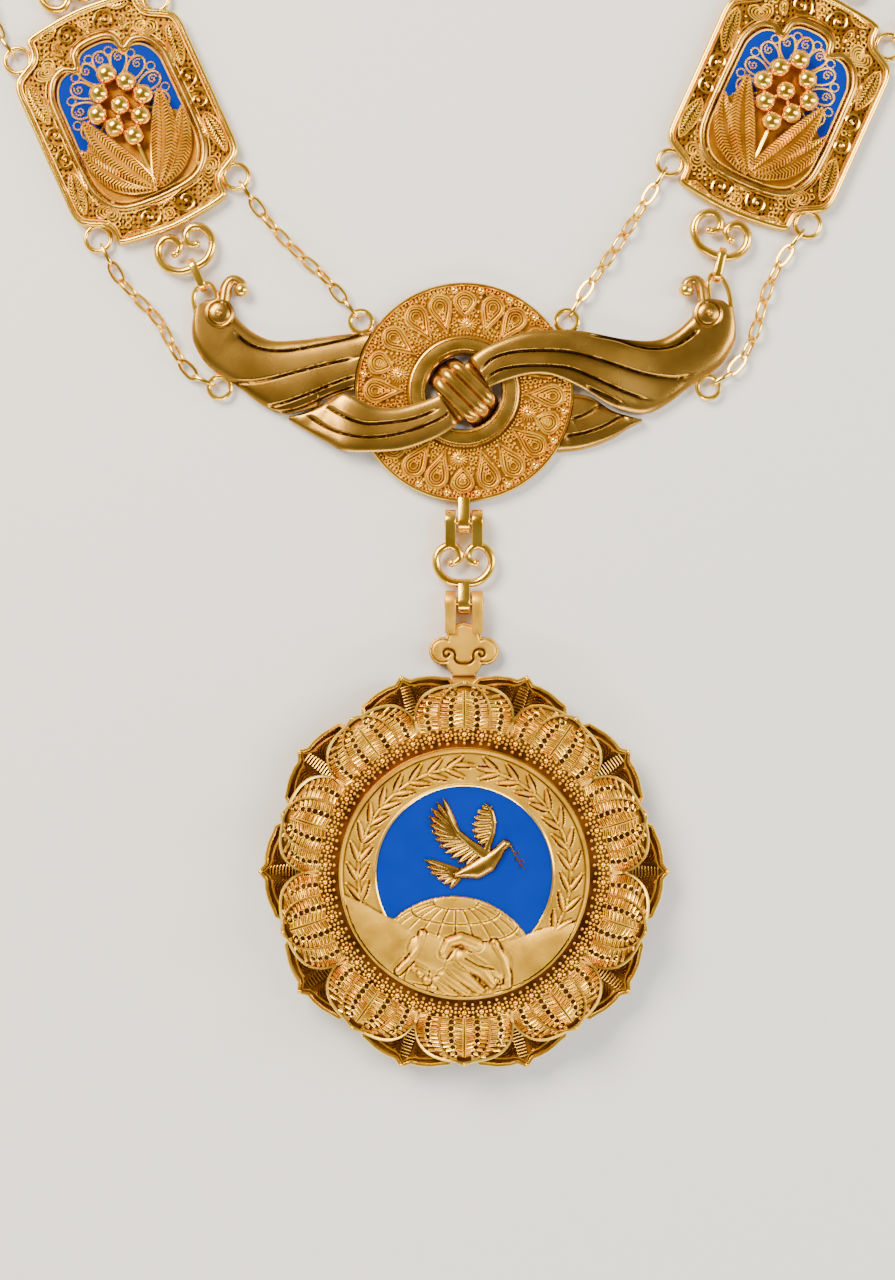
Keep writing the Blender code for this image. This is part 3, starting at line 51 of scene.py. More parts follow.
# Sizes of the CAD part that the finished pieces keep to
GAP = 0.3 * MM
DRUM_RADIUS = 25.5 * MM
PETALS = 10
MEDALLION_RADIUS = 24.6 * MM
ENAMEL_RADIUS = 17.4 * MM
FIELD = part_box("medallion")[0].z + 2.6 * MM
KNOT = Vector((0, 95.7 * MM, 0))
WING_REACH = 54.6 * MM
CHAIN_HEIGHT = 1.45 * MM

# Photograph: image size, and the place and reach of the camera above the jewel
IMAGE_WIDTH, IMAGE_HEIGHT = 895, 1280
CAMERA_AIM = Vector((-3.3 * MM, 46 * MM, 3 * MM))
CAMERA_RISE = 475 * MM
FRAMED_HEIGHT = 256 * MM


# ---------------- materials

def linear(hex_colour):
    """A colour as the eye reads it, sRGB hex, as the numbers that a shader takes."""
    channels = [int(hex_colour[i:i + 2], 16) / 255 for i in (1, 3, 5)]
    return tuple(c / 12.92 if c <= 0.04045 else ((c + 0.055) / 1.055) ** 2.4 for c in channels) + (1,)


def node(tree, kind, inputs, **settings):
    """Add a shader node, set its own settings, and set or link its inputs."""
    made = tree.nodes.new(kind)
    for name, value in settings.items():
        setattr(made, name, value)
    for key, value in inputs.items():
        if isinstance(value, bpy.types.NodeSocket):
            tree.links.new(value, made.inputs[key])
        else:
            made.inputs[key].default_value = value
    return made


def mix(tree, factor, first, second):
    """A colour between two."""
    return node(tree, "ShaderNodeMix", {"Factor": factor, 6: first, 7: second}, data_type="RGBA").outputs[2]


def blank_material(name):
    """A material with its node tree and Principled shader."""
    material = bpy.data.materials.new(name)
    material.use_nodes = True
    tree = material.node_tree
    return material, tree, tree.nodes["Principled BSDF"]


def gilt(name, colour, shade, roughness, grain_mm, grain, patch_mm=4, holes_mm=0):
    """Gold over silver: two golds in soft patches, dark brown painted into the hollows as their shade and patina,
    a finish that wanders, a fine grain of its own size, and rows of small holes painted dark as their shadow
    where they are asked for."""
    material, tree, shader = blank_material(name)
    place = node(tree, "ShaderNodeTexCoord", {}).outputs["Object"]
    patches = node(tree, "ShaderNodeTexNoise", {"Vector": place, "Scale": 1 / (patch_mm * MM), "Detail": 3})
    tone = node(tree, "ShaderNodeMapRange", {"Value": patches.outputs["Fac"], "From Min": 0.35, "From Max": 0.65})
    face = mix(tree, tone.outputs["Result"], linear(shade), linear(colour))
    # Painted shade, with the patina of recesses: the face turns dark brown where a mesh marks its hollows and shaded
    # places
    hollow = node(tree, "ShaderNodeAttribute", {}, attribute_name="hollow")
    face = mix(tree, hollow.outputs["Fac"], face, linear("#3E2206"))
    # Painted shadow: small dark spots that stand for the shade inside the holes of close wire, with a bump at their
    # walls
    if holes_mm:
        cells = node(tree, "ShaderNodeTexVoronoi", {"Vector": place, "Scale": 1 / (holes_mm * MM),
                                                    "Randomness": 0.45}, voronoi_dimensions="2D")
        wall = node(tree, "ShaderNodeMapRange", {"Value": cells.outputs["Distance"], "From Min": 0.20,
                                                 "From Max": 0.34}).outputs["Result"]
        face = mix(tree, wall, linear("#2E1402"), face)
    tree.links.new(face, shader.inputs["Base Color"])
    finish = node(tree, "ShaderNodeMapRange", {"Value": patches.outputs["Fac"], "To Min": roughness * 0.8,
                                               "To Max": roughness * 1.2})
    tree.links.new(finish.outputs["Result"], shader.inputs["Roughness"])
    shader.inputs["Metallic"].default_value = 1
    speckle = node(tree, "ShaderNodeTexNoise", {"Vector": place, "Scale": 1 / (grain_mm * MM), "Detail": 2})
    bump = node(tree, "ShaderNodeBump", {"Height": speckle.outputs["Fac"], "Strength": grain, "Distance": 0.05 * MM})
    if holes_mm:
        bump = node(tree, "ShaderNodeBump", {"Height": wall, "Strength": 0.7, "Distance": 0.12 * MM,
                                             "Normal": bump.outputs["Normal"]})
    tree.links.new(bump.outputs["Normal"], shader.inputs["Normal"])
    return material


def enamel(name, colour, deep):
    """Vitreous enamel: glass fused on metal, even in colour, wet in its gloss, with slow waves in its skin."""
    material, tree, shader = blank_material(name)
    place = node(tree, "ShaderNodeTexCoord", {}).outputs["Object"]
    clouds = node(tree, "ShaderNodeTexNoise", {"Vector": place, "Scale": 1 / (6 * MM), "Detail": 2})
    tree.links.new(mix(tree, clouds.outputs["Fac"], linear(deep), linear(colour)), shader.inputs["Base Color"])
    waves = node(tree, "ShaderNodeTexNoise", {"Vector": place, "Scale": 1 / (5 * MM)})
    bump = node(tree, "ShaderNodeBump", {"Height": waves.outputs["Fac"], "Strength": 0.15, "Distance": 0.1 * MM})
    tree.links.new(bump.outputs["Normal"], shader.inputs["Normal"])
    shader.inputs["Roughness"].default_value = 0.08
    shader.inputs["Coat Weight"].default_value = 0.4
    return material


# Filigree: drawn gold wire, bright on its crowns and orange where wires mirror each other
WIRE = gilt("filigree gold wire", "#FFD44E", "#FFC034", 0.32, 0.5, 0.2)
# The gallery under the rosettes, where light comes only from gold wall to gold wall: brown gold
DEEP = gilt("gold sheet in shadow", "#784A0E", "#4A2C06", 0.5, 0.4, 0.4)
# Rims and seams of the petals, burnished so that they catch every light
BRIGHT = gilt("burnished gold wire", "#FFD860", "#FFC63E", 0.28, 0.6, 0.1)
# Painted shadow: the dark foot of each open eye in the wire, which no light reaches
EYE_SHADOW = gilt("painted shadow in the open eyes", "#522A06", "#381C04", 0.6, 0.4, 0.3)
# The open sheet of petals, disc and plaques, which light reaches: warm orange gold
SHEET = gilt("orange gold sheet", "#A66A10", "#855209", 0.5, 0.4, 0.5)
# The ground of the plaque frames: close coils of wire with dark eyes, too fine to draw one by one, so their eyes
# are laid on as small spots of painted shadow, 1 mm apart where real ones are half that
LACE = gilt("close coiled gold wire", "#9A6410", "#704808", 0.46, 0.4, 0.5, 4, 1)
# Rims, balls and links: buffed gold
POLISHED = gilt("polished gold", "#FFD252", "#F8BC38", 0.19, 0.8, 0.1)
# Knot, dove and hooks: satin gold, brushed soft
SATIN = gilt("satin gold", "#CC9A40", "#B5842F", 0.27, 0.25, 0.25)
# Wings: the same gold painted darker, as a painted reflection of the dim room above their flat faces, so that they
# stand apart from the wire work
SHADED_SATIN = gilt("satin gold painted darker", "#B98A3A", "#A87C30", 0.27, 0.25, 0.25, 9)
# Medallion and bail: gold sandblasted to a frosty grain of about a tenth of a millimetre
SANDBLASTED = gilt("sandblasted gold", "#F4BA38", "#E4A82C", 0.44, 0.22, 0.9)
ENAMEL = enamel("cobalt blue enamel", "#012A90", "#01227C")


# ---------------- tools for shapes

def mesh_data(bm, name):
    """A bmesh as mesh data; the bmesh is used up."""
    mesh = bpy.data.meshes.new(name)
    bm.to_mesh(mesh)
    bm.free()
    return mesh


def placed(name, data):
    """A new object in the scene."""
    item = bpy.data.objects.new(name, data)
    bpy.context.collection.objects.link(item)
    return item


def finished_piece(name, layers, body, nodes, crease=40):
    """Join (bmesh, material) layers into one named piece that stands for its CAD nodes and rides on a body."""
    whole = bmesh.new()
    mesh = bpy.data.meshes.new(name)
    for index, (layer, material) in enumerate(layers):
        if not layer.verts.layers.float.get("hollow"):
            layer.verts.layers.float.new("hollow")
        for face in layer.faces:
            face.material_index = index
            face.smooth = True
        part = mesh_data(layer, "layer")
        whole.from_mesh(part)
        bpy.data.meshes.remove(part)
        mesh.materials.append(material)
    whole.to_mesh(mesh)
    whole.free()
    mesh.set_sharp_from_angle(angle=radians(crease))
    item = placed(name, mesh)
    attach(item, body)
    if nodes:
        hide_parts(*nodes)


def wires(strokes, thickness, sides=6, closed=False, taper=None):
    """Round wires of a thickness in mm along many strokes: a curve with one spline for each stroke, as a mesh."""
    curve = bpy.data.curves.new("wires", "CURVE")
    curve.dimensions = "3D"
    curve.bevel_depth = thickness * MM / 2
    curve.bevel_resolution = (sides - 4) // 2
    curve.use_fill_caps = not closed
    for stroke in strokes:
        spline = curve.splines.new("POLY")
        spline.points.add(len(stroke) - 1)
        spline.points.foreach_set("co", [c for x, y, z in stroke for c in (x, y, z, 1)])
        if taper:
            spline.points.foreach_set("radius", [taper(i / (len(stroke) - 1)) for i in range(len(stroke))])
        spline.use_cyclic_u = closed
    holder = placed("wires", curve)
    mesh = bpy.data.meshes.new_from_object(holder.evaluated_get(bpy.context.evaluated_depsgraph_get()))
    bpy.data.objects.remove(holder, do_unlink=True)
    bpy.data.curves.remove(curve)
    bm = bmesh.new()
    bm.from_mesh(mesh)
    bpy.data.meshes.remove(mesh)
    if not closed:
        bmesh.ops.remove_doubles(bm, verts=bm.verts[:], dist=0.0005 * MM)
    return bm


def circle(x, y, radius, count=8):
    """Even places round x, y as pairs."""
    return [(x + radius * cos(TURN * i / count), y + radius * sin(TURN * i / count)) for i in range(count)]


def granules(places, radius, fine=1):
    """Round gold grains of a radius in mm."""
    bm = bmesh.new()
    for place in places:
        bmesh.ops.create_icosphere(bm, subdivisions=fine, radius=radius * MM, matrix=Matrix.Translation(place))
    return bm


def turned(profile, steps, centre=(0, 0, 0), unit=1):
    """Spin a closed outline of radius, height pairs round an upright axis."""
    bm = bmesh.new()
    corners = [bm.verts.new((radius * unit, 0, height * unit)) for radius, height in profile]
    edges = [bm.edges.new(pair) for pair in zip(corners, corners[1:] + corners[:1])]
    bmesh.ops.spin(bm, geom=corners + edges, cent=(0, 0, 0), axis=(0, 0, 1),
                   dvec=(0, 0, 0), angle=TURN, steps=steps, use_merge=True)
    bmesh.ops.remove_doubles(bm, verts=bm.verts[:], dist=0.001 * MM)
    bare = [edge for edge in bm.edges if not edge.link_faces]
    bmesh.ops.delete(bm, geom=bare, context="EDGES")
    bmesh.ops.translate(bm, verts=bm.verts[:], vec=centre)
    bmesh.ops.recalc_face_normals(bm, faces=bm.faces[:])
    return bm


def skin(columns, rows, top, under, wrap=False):
    """A closed sheet: top(u, v) and under(u, v) give its two faces for u and v from 0 to 1."""
    bm = bmesh.new()
    bmesh.ops.create_grid(bm, x_segments=columns, y_segments=rows, size=1)
    across = bm.verts.layers.float.new("across")
    along = bm.verts.layers.float.new("along")
    for vert in bm.verts:
        vert[across] = (vert.co.x + 1) / 2
        vert[along] = (vert.co.y + 1) / 2
        vert.co = top(vert[across], vert[along])
    if wrap:
        bmesh.ops.remove_doubles(bm, verts=bm.verts[:], dist=0.001 * MM)
    below = bm.verts.layers.int.new("below")
    moved = bmesh.ops.extrude_face_region(bm, geom=bm.faces[:], use_keep_orig=True)["geom"]
    for item in moved:
        if isinstance(item, bmesh.types.BMVert):
            item[below] = 1
            item.co = under(item[across], item[along])
    bmesh.ops.remove_doubles(bm, verts=bm.verts[:], dist=0.0005 * MM)
    bmesh.ops.recalc_face_normals(bm, faces=bm.faces[:])
    return bm


def drawn_out(bm, faces, way):
    """A closed plate from open faces, as thick as way is long."""
    made = bmesh.ops.extrude_face_region(bm, geom=faces, use_keep_orig=True)["geom"]
    bmesh.ops.translate(bm, vec=way, verts=[item for item in made if isinstance(item, bmesh.types.BMVert)])
    bmesh.ops.recalc_face_normals(bm, faces=bm.faces[:])
    return bm


def within(values):
    """Values kept from 0 to 1."""
    return np.clip(values, 0, 1)


def places_of(bm):
    """The corners of a bmesh as an array, in millimetres."""
    return np.array([vert.co for vert in bm.verts], float) / MM


# Painted shade and patina in relief: a spot counts as a hollow against the heights this far round it, and its painted
# shade is darkest this deep, in mm
SHADE_REACH, SHADE_FULL = 0.42, 0.14


def raised(bm, height, low):
    """Raise an open grid to height(x, y), mark its hollows for painted shade and patina, and give it a wall down to
    low and a flat back.
    """
    place = places_of(bm)
    x, y = place[:, 0], place[:, 1]
    hollow = bm.verts.layers.float.new("hollow")
    for vert, level in zip(bm.verts, height(x, y)):
        vert.co.z = level
    about = sum(height(*near) for near in circle(x, y, SHADE_REACH)) / 8
    for vert, deep in zip(bm.verts, (about - places_of(bm)[:, 2] * MM) / (SHADE_FULL * MM)):
        vert[hollow] = max(0, min(1, deep))
    border = [edge for edge in bm.edges if edge.is_boundary]
    made = bmesh.ops.extrude_edge_only(bm, edges=border)["geom"]
    for item in made:
        if isinstance(item, bmesh.types.BMVert):
            item.co.z = low
            item[hollow] = 0
    foot = [item for item in made if isinstance(item, bmesh.types.BMEdge)]
    bmesh.ops.triangle_fill(bm, use_beauty=True, edges=foot)
    bmesh.ops.recalc_face_normals(bm, faces=bm.faces[:])
    return bm


def relief_disc(radius, cells, height, low):
    """A round relief: an even grid drawn out to a circle, raised by height(x, y) in millimetres."""
    bm = bmesh.new()
    bmesh.ops.create_grid(bm, x_segments=cells, y_segments=cells, size=1)
    for vert in bm.verts:
        u, v = vert.co.x, vert.co.y
        vert.co = (radius * u * sqrt(1 - v * v / 2), radius * v * sqrt(1 - u * u / 2), 0)
    return raised(bm, height, low)


def relief_plate(low_corner, high_corner, pitch, inside, height, low):
    """A relief cut to an outline: inside(x, y) is above 0 on the plate and says how far in, in millimetres."""
    width, depth = high_corner[0] - low_corner[0], high_corner[1] - low_corner[1]
    bm = bmesh.new()
    bmesh.ops.create_grid(bm, x_segments=round(width / pitch), y_segments=round(depth / pitch), size=0.5)
    middle = Vector(((low_corner[0] + high_corner[0]) / 2, (low_corner[1] + high_corner[1]) / 2, 0)) * MM
    bmesh.ops.transform(bm, matrix=Matrix.Translation(middle) @ Matrix.Diagonal((width * MM, depth * MM, 1, 1)),
                        verts=bm.verts[:])
    place = places_of(bm)
    depth_in = inside(place[:, 0], place[:, 1])
    for vert, value in zip(bm.verts, depth_in):
        vert.tag = bool(value > 0)
    bmesh.ops.delete(bm, geom=[face for face in bm.faces if not any(v.tag for v in face.verts)], context="FACES")
    bmesh.ops.delete(bm, geom=[vert for vert in bm.verts if not vert.link_faces], context="VERTS")
    step = 0.02
    for _ in range(3):
        place = places_of(bm)
        x, y = place[:, 0], place[:, 1]
        value = inside(x, y)
        slope_x = (inside(x + step, y) - value) / step
        slope_y = (inside(x, y + step) - value) / step
        size = np.maximum(slope_x ** 2 + slope_y ** 2, 0.05)
        shift = np.where(value < 0, -value / size, 0)
        for vert, dx, dy in zip(bm.verts, shift * slope_x, shift * slope_y):
            vert.co.x += dx * MM
            vert.co.y += dy * MM
    return raised(bm, height, low)


def off_line(x, y, a, b):
    """Where the line from a to b comes nearest to each place: share of its length, and the steps from there."""
    dx, dy = b[0] - a[0], b[1] - a[1]
    share = within(((x - a[0]) * dx + (y - a[1]) * dy) / max(dx * dx + dy * dy, 1e-12))
    return share, x - a[0] - share * dx, y - a[1] - share * dy


def depth_in_outline(x, y, outline):
    """How far each point lies inside a closed outline; below 0 outside it."""
    nearest = np.full_like(x, 1e9)
    crossings = np.zeros(x.shape, bool)
    for a, b in zip(outline, outline[1:] + outline[:1]):
        nearest = np.minimum(nearest, np.hypot(*off_line(x, y, a, b)[1:]))
        if a[1] != b[1]:
            spans = (y > min(a[1], b[1])) & (y <= max(a[1], b[1]))
            crossings ^= spans & (x < a[0] + (y - a[1]) / (b[1] - a[1]) * (b[0] - a[0]))
    return np.where(crossings, nearest, -nearest)


def limb(x, y, points, radii):
    """Share of height of a rounded limb along a line: 1 along its middle, falling round to 0 at its sides."""
    best = np.full_like(x, -1)
    for a, b, ra, rb in zip(points, points[1:], radii, radii[1:]):
        share, *away = off_line(x, y, a, b)
        best = np.maximum(best, 1 - (np.hypot(*away) / (ra + (rb - ra) * share)) ** 2)
    return np.sqrt(within(best))


def groove(x, y, points, half_width):
    """Share of depth of an engraved line: 1 along its middle, 0 outside it."""
    return limb(x, y, points, [half_width] * len(points))


def between(p0, p1, p2, p3, t):
    """A point of the smooth curve through four numbers or vectors, t of the way from the second to the third."""
    return 0.5 * (2 * p1 + (p2 - p0) * t + (2 * p0 - 5 * p1 + 4 * p2 - p3) * t ** 2
                  + (3 * p1 - p0 - 3 * p2 + p3) * t ** 3)


def smooth_route(points, samples=8, closed=False):
    """Points read from a smooth curve through the chosen points."""
    points = [Vector(point) for point in points]
    if closed:
        ends, last = [points[-1], *points, *points[:2]], []
    else:
        ends, last = [points[0] * 2 - points[1], *points, points[-1] * 2 - points[-2]], [points[-1]]
    return [between(*four, step / samples) for four in zip(ends, ends[1:], ends[2:], ends[3:])
            for step in range(samples)] + last


def spaced(route, count, start=0, stop=0):
    """Evenly spaced points along a route, leaving start and stop off its two ends."""
    lengths = [0]
    for a, b in zip(route, route[1:]):
        lengths.append(lengths[-1] + (b - a).length)
    reach = lengths[-1] - start - stop
    places = []
    index = 0
    for step in range(count):
        goal = start + reach * step / (count - 1)
        while index < len(route) - 2 and lengths[index + 1] < goal:
            index += 1
        share = (goal - lengths[index]) / max(lengths[index + 1] - lengths[index], 1e-9)
        places.append(route[index].lerp(route[index + 1], share))
    return places


def route_length(route):
    """Length along a route."""
    return sum((b - a).length for a, b in zip(route, route[1:]))


# ---------------- badge: petals

TIER_ROOT = DRUM_RADIUS + GAP
DRUM_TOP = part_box("badge_drum")[1].z
PETAL_HALF_TURN = pi / PETALS
# Foot of the petals' wires, and the lobe inside an inner petal: its top, half turn (as t) and roundness
PETAL_FOOT, LOBE_TOP, LOBE_HALF_TURN, LOBE_ROUND = 28.6 * MM, 36.6 * MM, 0.53, 2.6
HAIRPIN_PITCH = 0.76 * MM
# Painted shade on the top of the open sheet behind the wires, where the wires shade it: how dark it is
SHEET_SHADE = 0.58


def inner_outline(t):
    """Inner petal's edge as a share of its tip radius, t from -1 over 0 at the tip to 1."""
    return 0.79 + 0.19 * sqrt(max(0, 1 - abs(t) ** 3.4)) + 0.02 * max(0, 1 - abs(t) / 0.16)


def inner_height(v, t):
    """Inner petal's face: arched along and across."""
    return DRUM_TOP + GAP + 1.9 * MM * sin(pi * v * 0.86) - 3 * MM * v * t * t


def outer_outline(t):
    """Outer petal's edge: it comes to a point, with a notch between petals."""
    share = cos(PETAL_HALF_TURN) / cos(PETAL_HALF_TURN * (1 - abs(t)))
    point = 0.010 * max(0, 1 - abs(t) / 0.08) - 0.010 * exp(-((abs(t) - 0.13) / 0.07) ** 2)
    swell = 0.007 * exp(-((abs(t) - 0.45) / 0.16) ** 2)
    return share + point + swell - 0.09 * max(0, abs(t) - 0.75) / 0.25


def outer_height(v, t):
    """Outer petal's face: dished, its rim and point turned up."""
    return 3.6 * MM + 2.7 * MM * v ** 1.6 * (1 - 0.45 * abs(t))


INNER = (37.8 * MM, inner_outline, inner_height, 0)
OUTER = (40.6 * MM, outer_outline, outer_height, PETAL_HALF_TURN)


def petal_place(tier, t, radius, lift):
    """A point over the first petal of a tier, whose tip points up the page or half a petal beside it."""
    tip_radius, outline, height, shift = tier
    share = (radius - TIER_ROOT) / (tip_radius * outline(t) - TIER_ROOT)
    angle = pi / 2 + shift - t * PETAL_HALF_TURN
    return Vector((radius * cos(angle), radius * sin(angle), height(min(share, 1), t) + lift * MM))


def petal_sheet(tier, drop, thickness):
    """The sheet behind a tier's wires, with shade painted on its top between them and clean gold below."""
    tip_radius, outline, height, shift = tier

    def place(u, v, lower):
        turn = (u * PETALS) % 1
        t = 2 * turn - 1
        radius = TIER_ROOT + (tip_radius * outline(t) - TIER_ROOT) * v
        angle = pi / 2 + shift + TURN * (u - 0.5 / PETALS)
        return Vector((radius * cos(angle), radius * sin(angle), height(v, t) - lower))

    bm = skin(PETALS * 16, 8, lambda u, v: place(u, v, drop), lambda u, v: place(u, v, drop + thickness), True)
    hollow = bm.verts.layers.float.new("hollow")
    below = bm.verts.layers.int["below"]
    for vert in bm.verts:
        vert[hollow] = 0 if vert[below] else SHEET_SHADE
    return bm


def all_round(strokes, count=PETALS):
    """The same strokes on every petal."""
    turns = [Matrix.Rotation(TURN * i / count, 3, "Z") for i in range(count)]
    return [[turn @ point for point in stroke] for turn in turns for stroke in strokes]


def rim_reach(tier, radius):
    """How far round, as t, a petal reaches at a radius."""
    low, high = 0, 1
    for _ in range(18):
        middle = (low + high) / 2
        if tier[0] * tier[1](middle) > radius:
            low = middle
        else:
            high = middle
    return min(low, 0.965)


def lobe_reach(radius):
    """How far round the smaller lobe inside an inner petal reaches at a radius."""
    share = min(1, max(0, (radius - PETAL_FOOT) / (LOBE_TOP - PETAL_FOOT)))
    return LOBE_HALF_TURN * (1 - share ** LOBE_ROUND) ** 0.5


def hairpin(tier, start, stop, radius, sag, lift):
    """One bend of the zigzag wire: out from start, round at stop and back."""
    half = HAIRPIN_PITCH * 0.25
    bow = copysign(0.022, stop - start)
    ways = [(start, radius - half), (stop, radius - half - sag), (stop + bow, radius - sag),
            (stop, radius + half - sag), (start, radius + half)]
    return [petal_place(tier, t, r, lift) for t, r in ways]


def inner_petal_hairpins():
    """Tight bends in four bands on each inner petal, with rows of open eyes between their ends."""
    strokes = []
    radius = PETAL_FOOT + 0.3 * MM
    while radius < LOBE_TOP:
        lobe, rim = lobe_reach(radius), rim_reach(INNER, radius + 0.4 * MM)
        for side in (1, -1):
            if lobe > 0.12:
                strokes.append(hairpin(INNER, side * 0.03, side * 0.36 * lobe, radius, 0.25 * MM, 0))
                strokes.append(hairpin(INNER, side * (lobe - 0.03), side * 0.68 * lobe, radius, 0.25 * MM, 0))
            if rim - lobe > 0.18:
                inner_end = lobe + (rim - lobe) * 0.36
                outer_end = lobe + (rim - lobe) * 0.68
                strokes.append(hairpin(INNER, side * (lobe + 0.03), side * inner_end, radius, -0.2 * MM, 0))
                strokes.append(hairpin(INNER, side * (rim - 0.02), side * outer_end, radius, 0.35 * MM, 0))
        radius += HAIRPIN_PITCH
    return strokes


def petal_eyes(reach, lift):
    """Rings of the open eyes between the bends, in four rows on each inner petal; reach in mm, lift above it."""
    rings = []
    for k in range(6):
        radius = PETAL_FOOT + (0.75 + 1.22 * k) * MM
        lobe, rim = lobe_reach(radius), rim_reach(INNER, radius + 0.4 * MM)
        rows = [0.52 * lobe] if lobe > 0.2 else []
        rows += [lobe + (rim - lobe) * 0.52] if rim - lobe > 0.2 and k < 5 else []
        across = reach * MM / (radius * PETAL_HALF_TURN)
        for t in rows + [-t for t in rows]:
            rings.append([petal_place(INNER, t + across * x, radius + 0.92 * reach * MM * y, lift)
                          for x, y in circle(0, 0, 1)])
    return rings


def dark_seats(rings):
    """A small closed plate at the foot of each eye, to carry its painted shadow."""
    bm = bmesh.new()
    faces = [bm.faces.new([bm.verts.new(place) for place in ring]) for ring in rings]
    return drawn_out(bm, faces, (0, 0, -0.3 * MM))


def inner_petal_lines():
    """Rim, inner lobe and middle seam of an inner petal."""
    rim = [petal_place(INNER, t, INNER[0] * inner_outline(t), 0.25)
           for t in (sin(pi / 2 * i / 20) * 0.99 for i in range(-20, 21))]
    rim = [petal_place(INNER, -0.95, PETAL_FOOT, 0.2)] + rim + [petal_place(INNER, 0.95, PETAL_FOOT, 0.2)]
    lobe = [petal_place(INNER, LOBE_HALF_TURN * sin(turn),
                        PETAL_FOOT + 8.6 * MM * max(0, cos(turn)) ** (2 / LOBE_ROUND), 0.28)
            for turn in (pi / 2 * i / 14 for i in range(-14, 15))]
    seam = [[petal_place(INNER, side * 0.02, PETAL_FOOT + 0.93 * MM * i, 0.18) for i in range(9)] for side in (1, -1)]
    return rim, lobe, seam


def tip_balls(tip, radius):
    """A ball at the tip of each petal, as a layer."""
    return granules([stroke[0] for stroke in all_round([[tip]])], radius, 2), POLISHED


def build_inner_tier():
    """Ten domed petals of filigree."""
    rim, lobe, seam = inner_petal_lines()
    layers = [(petal_sheet(INNER, 0.45 * MM, 0.6 * MM), SHEET), (wires(all_round([rim]), 0.66), BRIGHT),
              (wires(all_round([lobe]), 0.46), BRIGHT), (wires(all_round(seam), 0.26, 4), BRIGHT),
              (dark_seats(all_round(petal_eyes(0.60, -0.16))), EYE_SHADOW),
              (wires(all_round(petal_eyes(0.64, 0.06)), 0.22, 4, closed=True), BRIGHT),
              (wires(all_round(inner_petal_hairpins()), 0.29, 4), WIRE)]
    layers.append(tip_balls(petal_place(INNER, 0, INNER[0] * 0.995, 0.15), 0.42))
    finished_piece("lotus_inner_petals", layers, "badge", ["lotus_inner_tier"])


def outer_petal_strokes():
    """Rim, curled fans and ribbed middle band of an outer petal."""
    rim = [petal_place(OUTER, t, OUTER[0] * outer_outline(t) - 0.35 * MM, 0.15)
           for t in (i / 16 * 0.99 for i in range(-16, 17))]
    inner_rim = [petal_place(OUTER, t, OUTER[0] * outer_outline(t) - (1.25 + 0.9 * abs(t)) * MM, 0)
                 for t in (i / 10 * 0.86 for i in range(-10, 11))]
    fans = []
    for k in range(9):
        start, stop = (33.2 + 0.68 * k) * MM, (32.6 + 0.56 * k) * MM
        for side in (1, -1):
            fan = []
            for i in range(8):
                s = i / 7
                t = 0.14 + (0.66 - 0.035 * k) * s
                radius = start + (stop - start) * s + 2.3 * MM * sin(pi * s ** 0.8) * (1 - 0.04 * k)
                limit = OUTER[0] * outer_outline(t) - (1.5 + 0.9 * t) * MM
                fan.append(petal_place(OUTER, side * t, min(radius, limit), 0))
            fans.append(fan)
    band = [hairpin(OUTER, -0.12 + 0.005 * k, 0.12 - 0.005 * k, (31.5 + 0.62 * k) * MM, 0, 0) for k in range(12)]
    return rim, inner_rim, fans, band


def build_outer_tier():
    """Ten pointed petals that show between the domed ones."""
    rim, inner_rim, fans, band = outer_petal_strokes()
    layers = [(petal_sheet(OUTER, 0.5 * MM, 0.6 * MM), SHEET), (wires(all_round([rim]), 0.8), BRIGHT),
              (wires(all_round([inner_rim]), 0.36), WIRE), (wires(all_round(fans), 0.28, 4), SATIN),
              (wires(all_round(band), 0.26, 4), SATIN)]
    layers.append(tip_balls(petal_place(OUTER, 0, OUTER[0] - 0.2 * MM, 0.2), 0.5))
    finished_piece("lotus_outer_petals", layers, "badge", ["lotus_outer_tier"])


ROSETTES = 50
ROSETTE_RADIUS = 27.4 * MM


def build_granule_ring():
    """A gallery round the medallion, with a rosette of grains at each of its places."""
    floor = DRUM_TOP + 0.9 * MM
    edge = MEDALLION_RADIUS + GAP
    gallery = turned([(edge, floor - 0.5 * MM), (edge, floor - 0.1 * MM), (26.2 * MM, floor + 0.1 * MM),
                      (28.5 * MM, floor + 0.2 * MM), (29.2 * MM, floor - 0.1 * MM), (28.5 * MM, floor - 0.5 * MM)],
                     100)
    middles, small, fine = [], [], []
    for i in range(ROSETTES):
        turn = TURN * (i + 0.5) / ROSETTES
        across = Vector((cos(turn), sin(turn), 0))
        place = across * ROSETTE_RADIUS + Vector((0, 0, floor + 0.75 * MM))
        middles.append(place)
        seat = place - Vector((0, 0, 0.3 * MM))
        small += [(x, y, seat.z) for x, y in circle(seat.x, seat.y, 0.98 * MM)]
        half = Vector((cos(turn + 0.5 * TURN / ROSETTES), sin(turn + 0.5 * TURN / ROSETTES), 0))
        fine += [half * reach * MM + Vector((0, 0, floor + 0.4 * MM)) for reach in (25.9, 26.7, 27.5, 28.4)]
        fine.append(across * 25.7 * MM + Vector((0, 0, floor + 0.25 * MM)))
    layers = [(gallery, DEEP), (granules(middles, 0.55, 2), POLISHED), (granules(small, 0.33), WIRE),
              (granules(fine, 0.34), WIRE)]
    finished_piece("rosette_ring", layers, "badge", ["granule_ring"])


# ---------------- badge: medallion and dove, in mm from its centre

# Height that marks places outside the figures, and the level below which a height is such a mark
OUTSIDE, MARKED = -9, -5
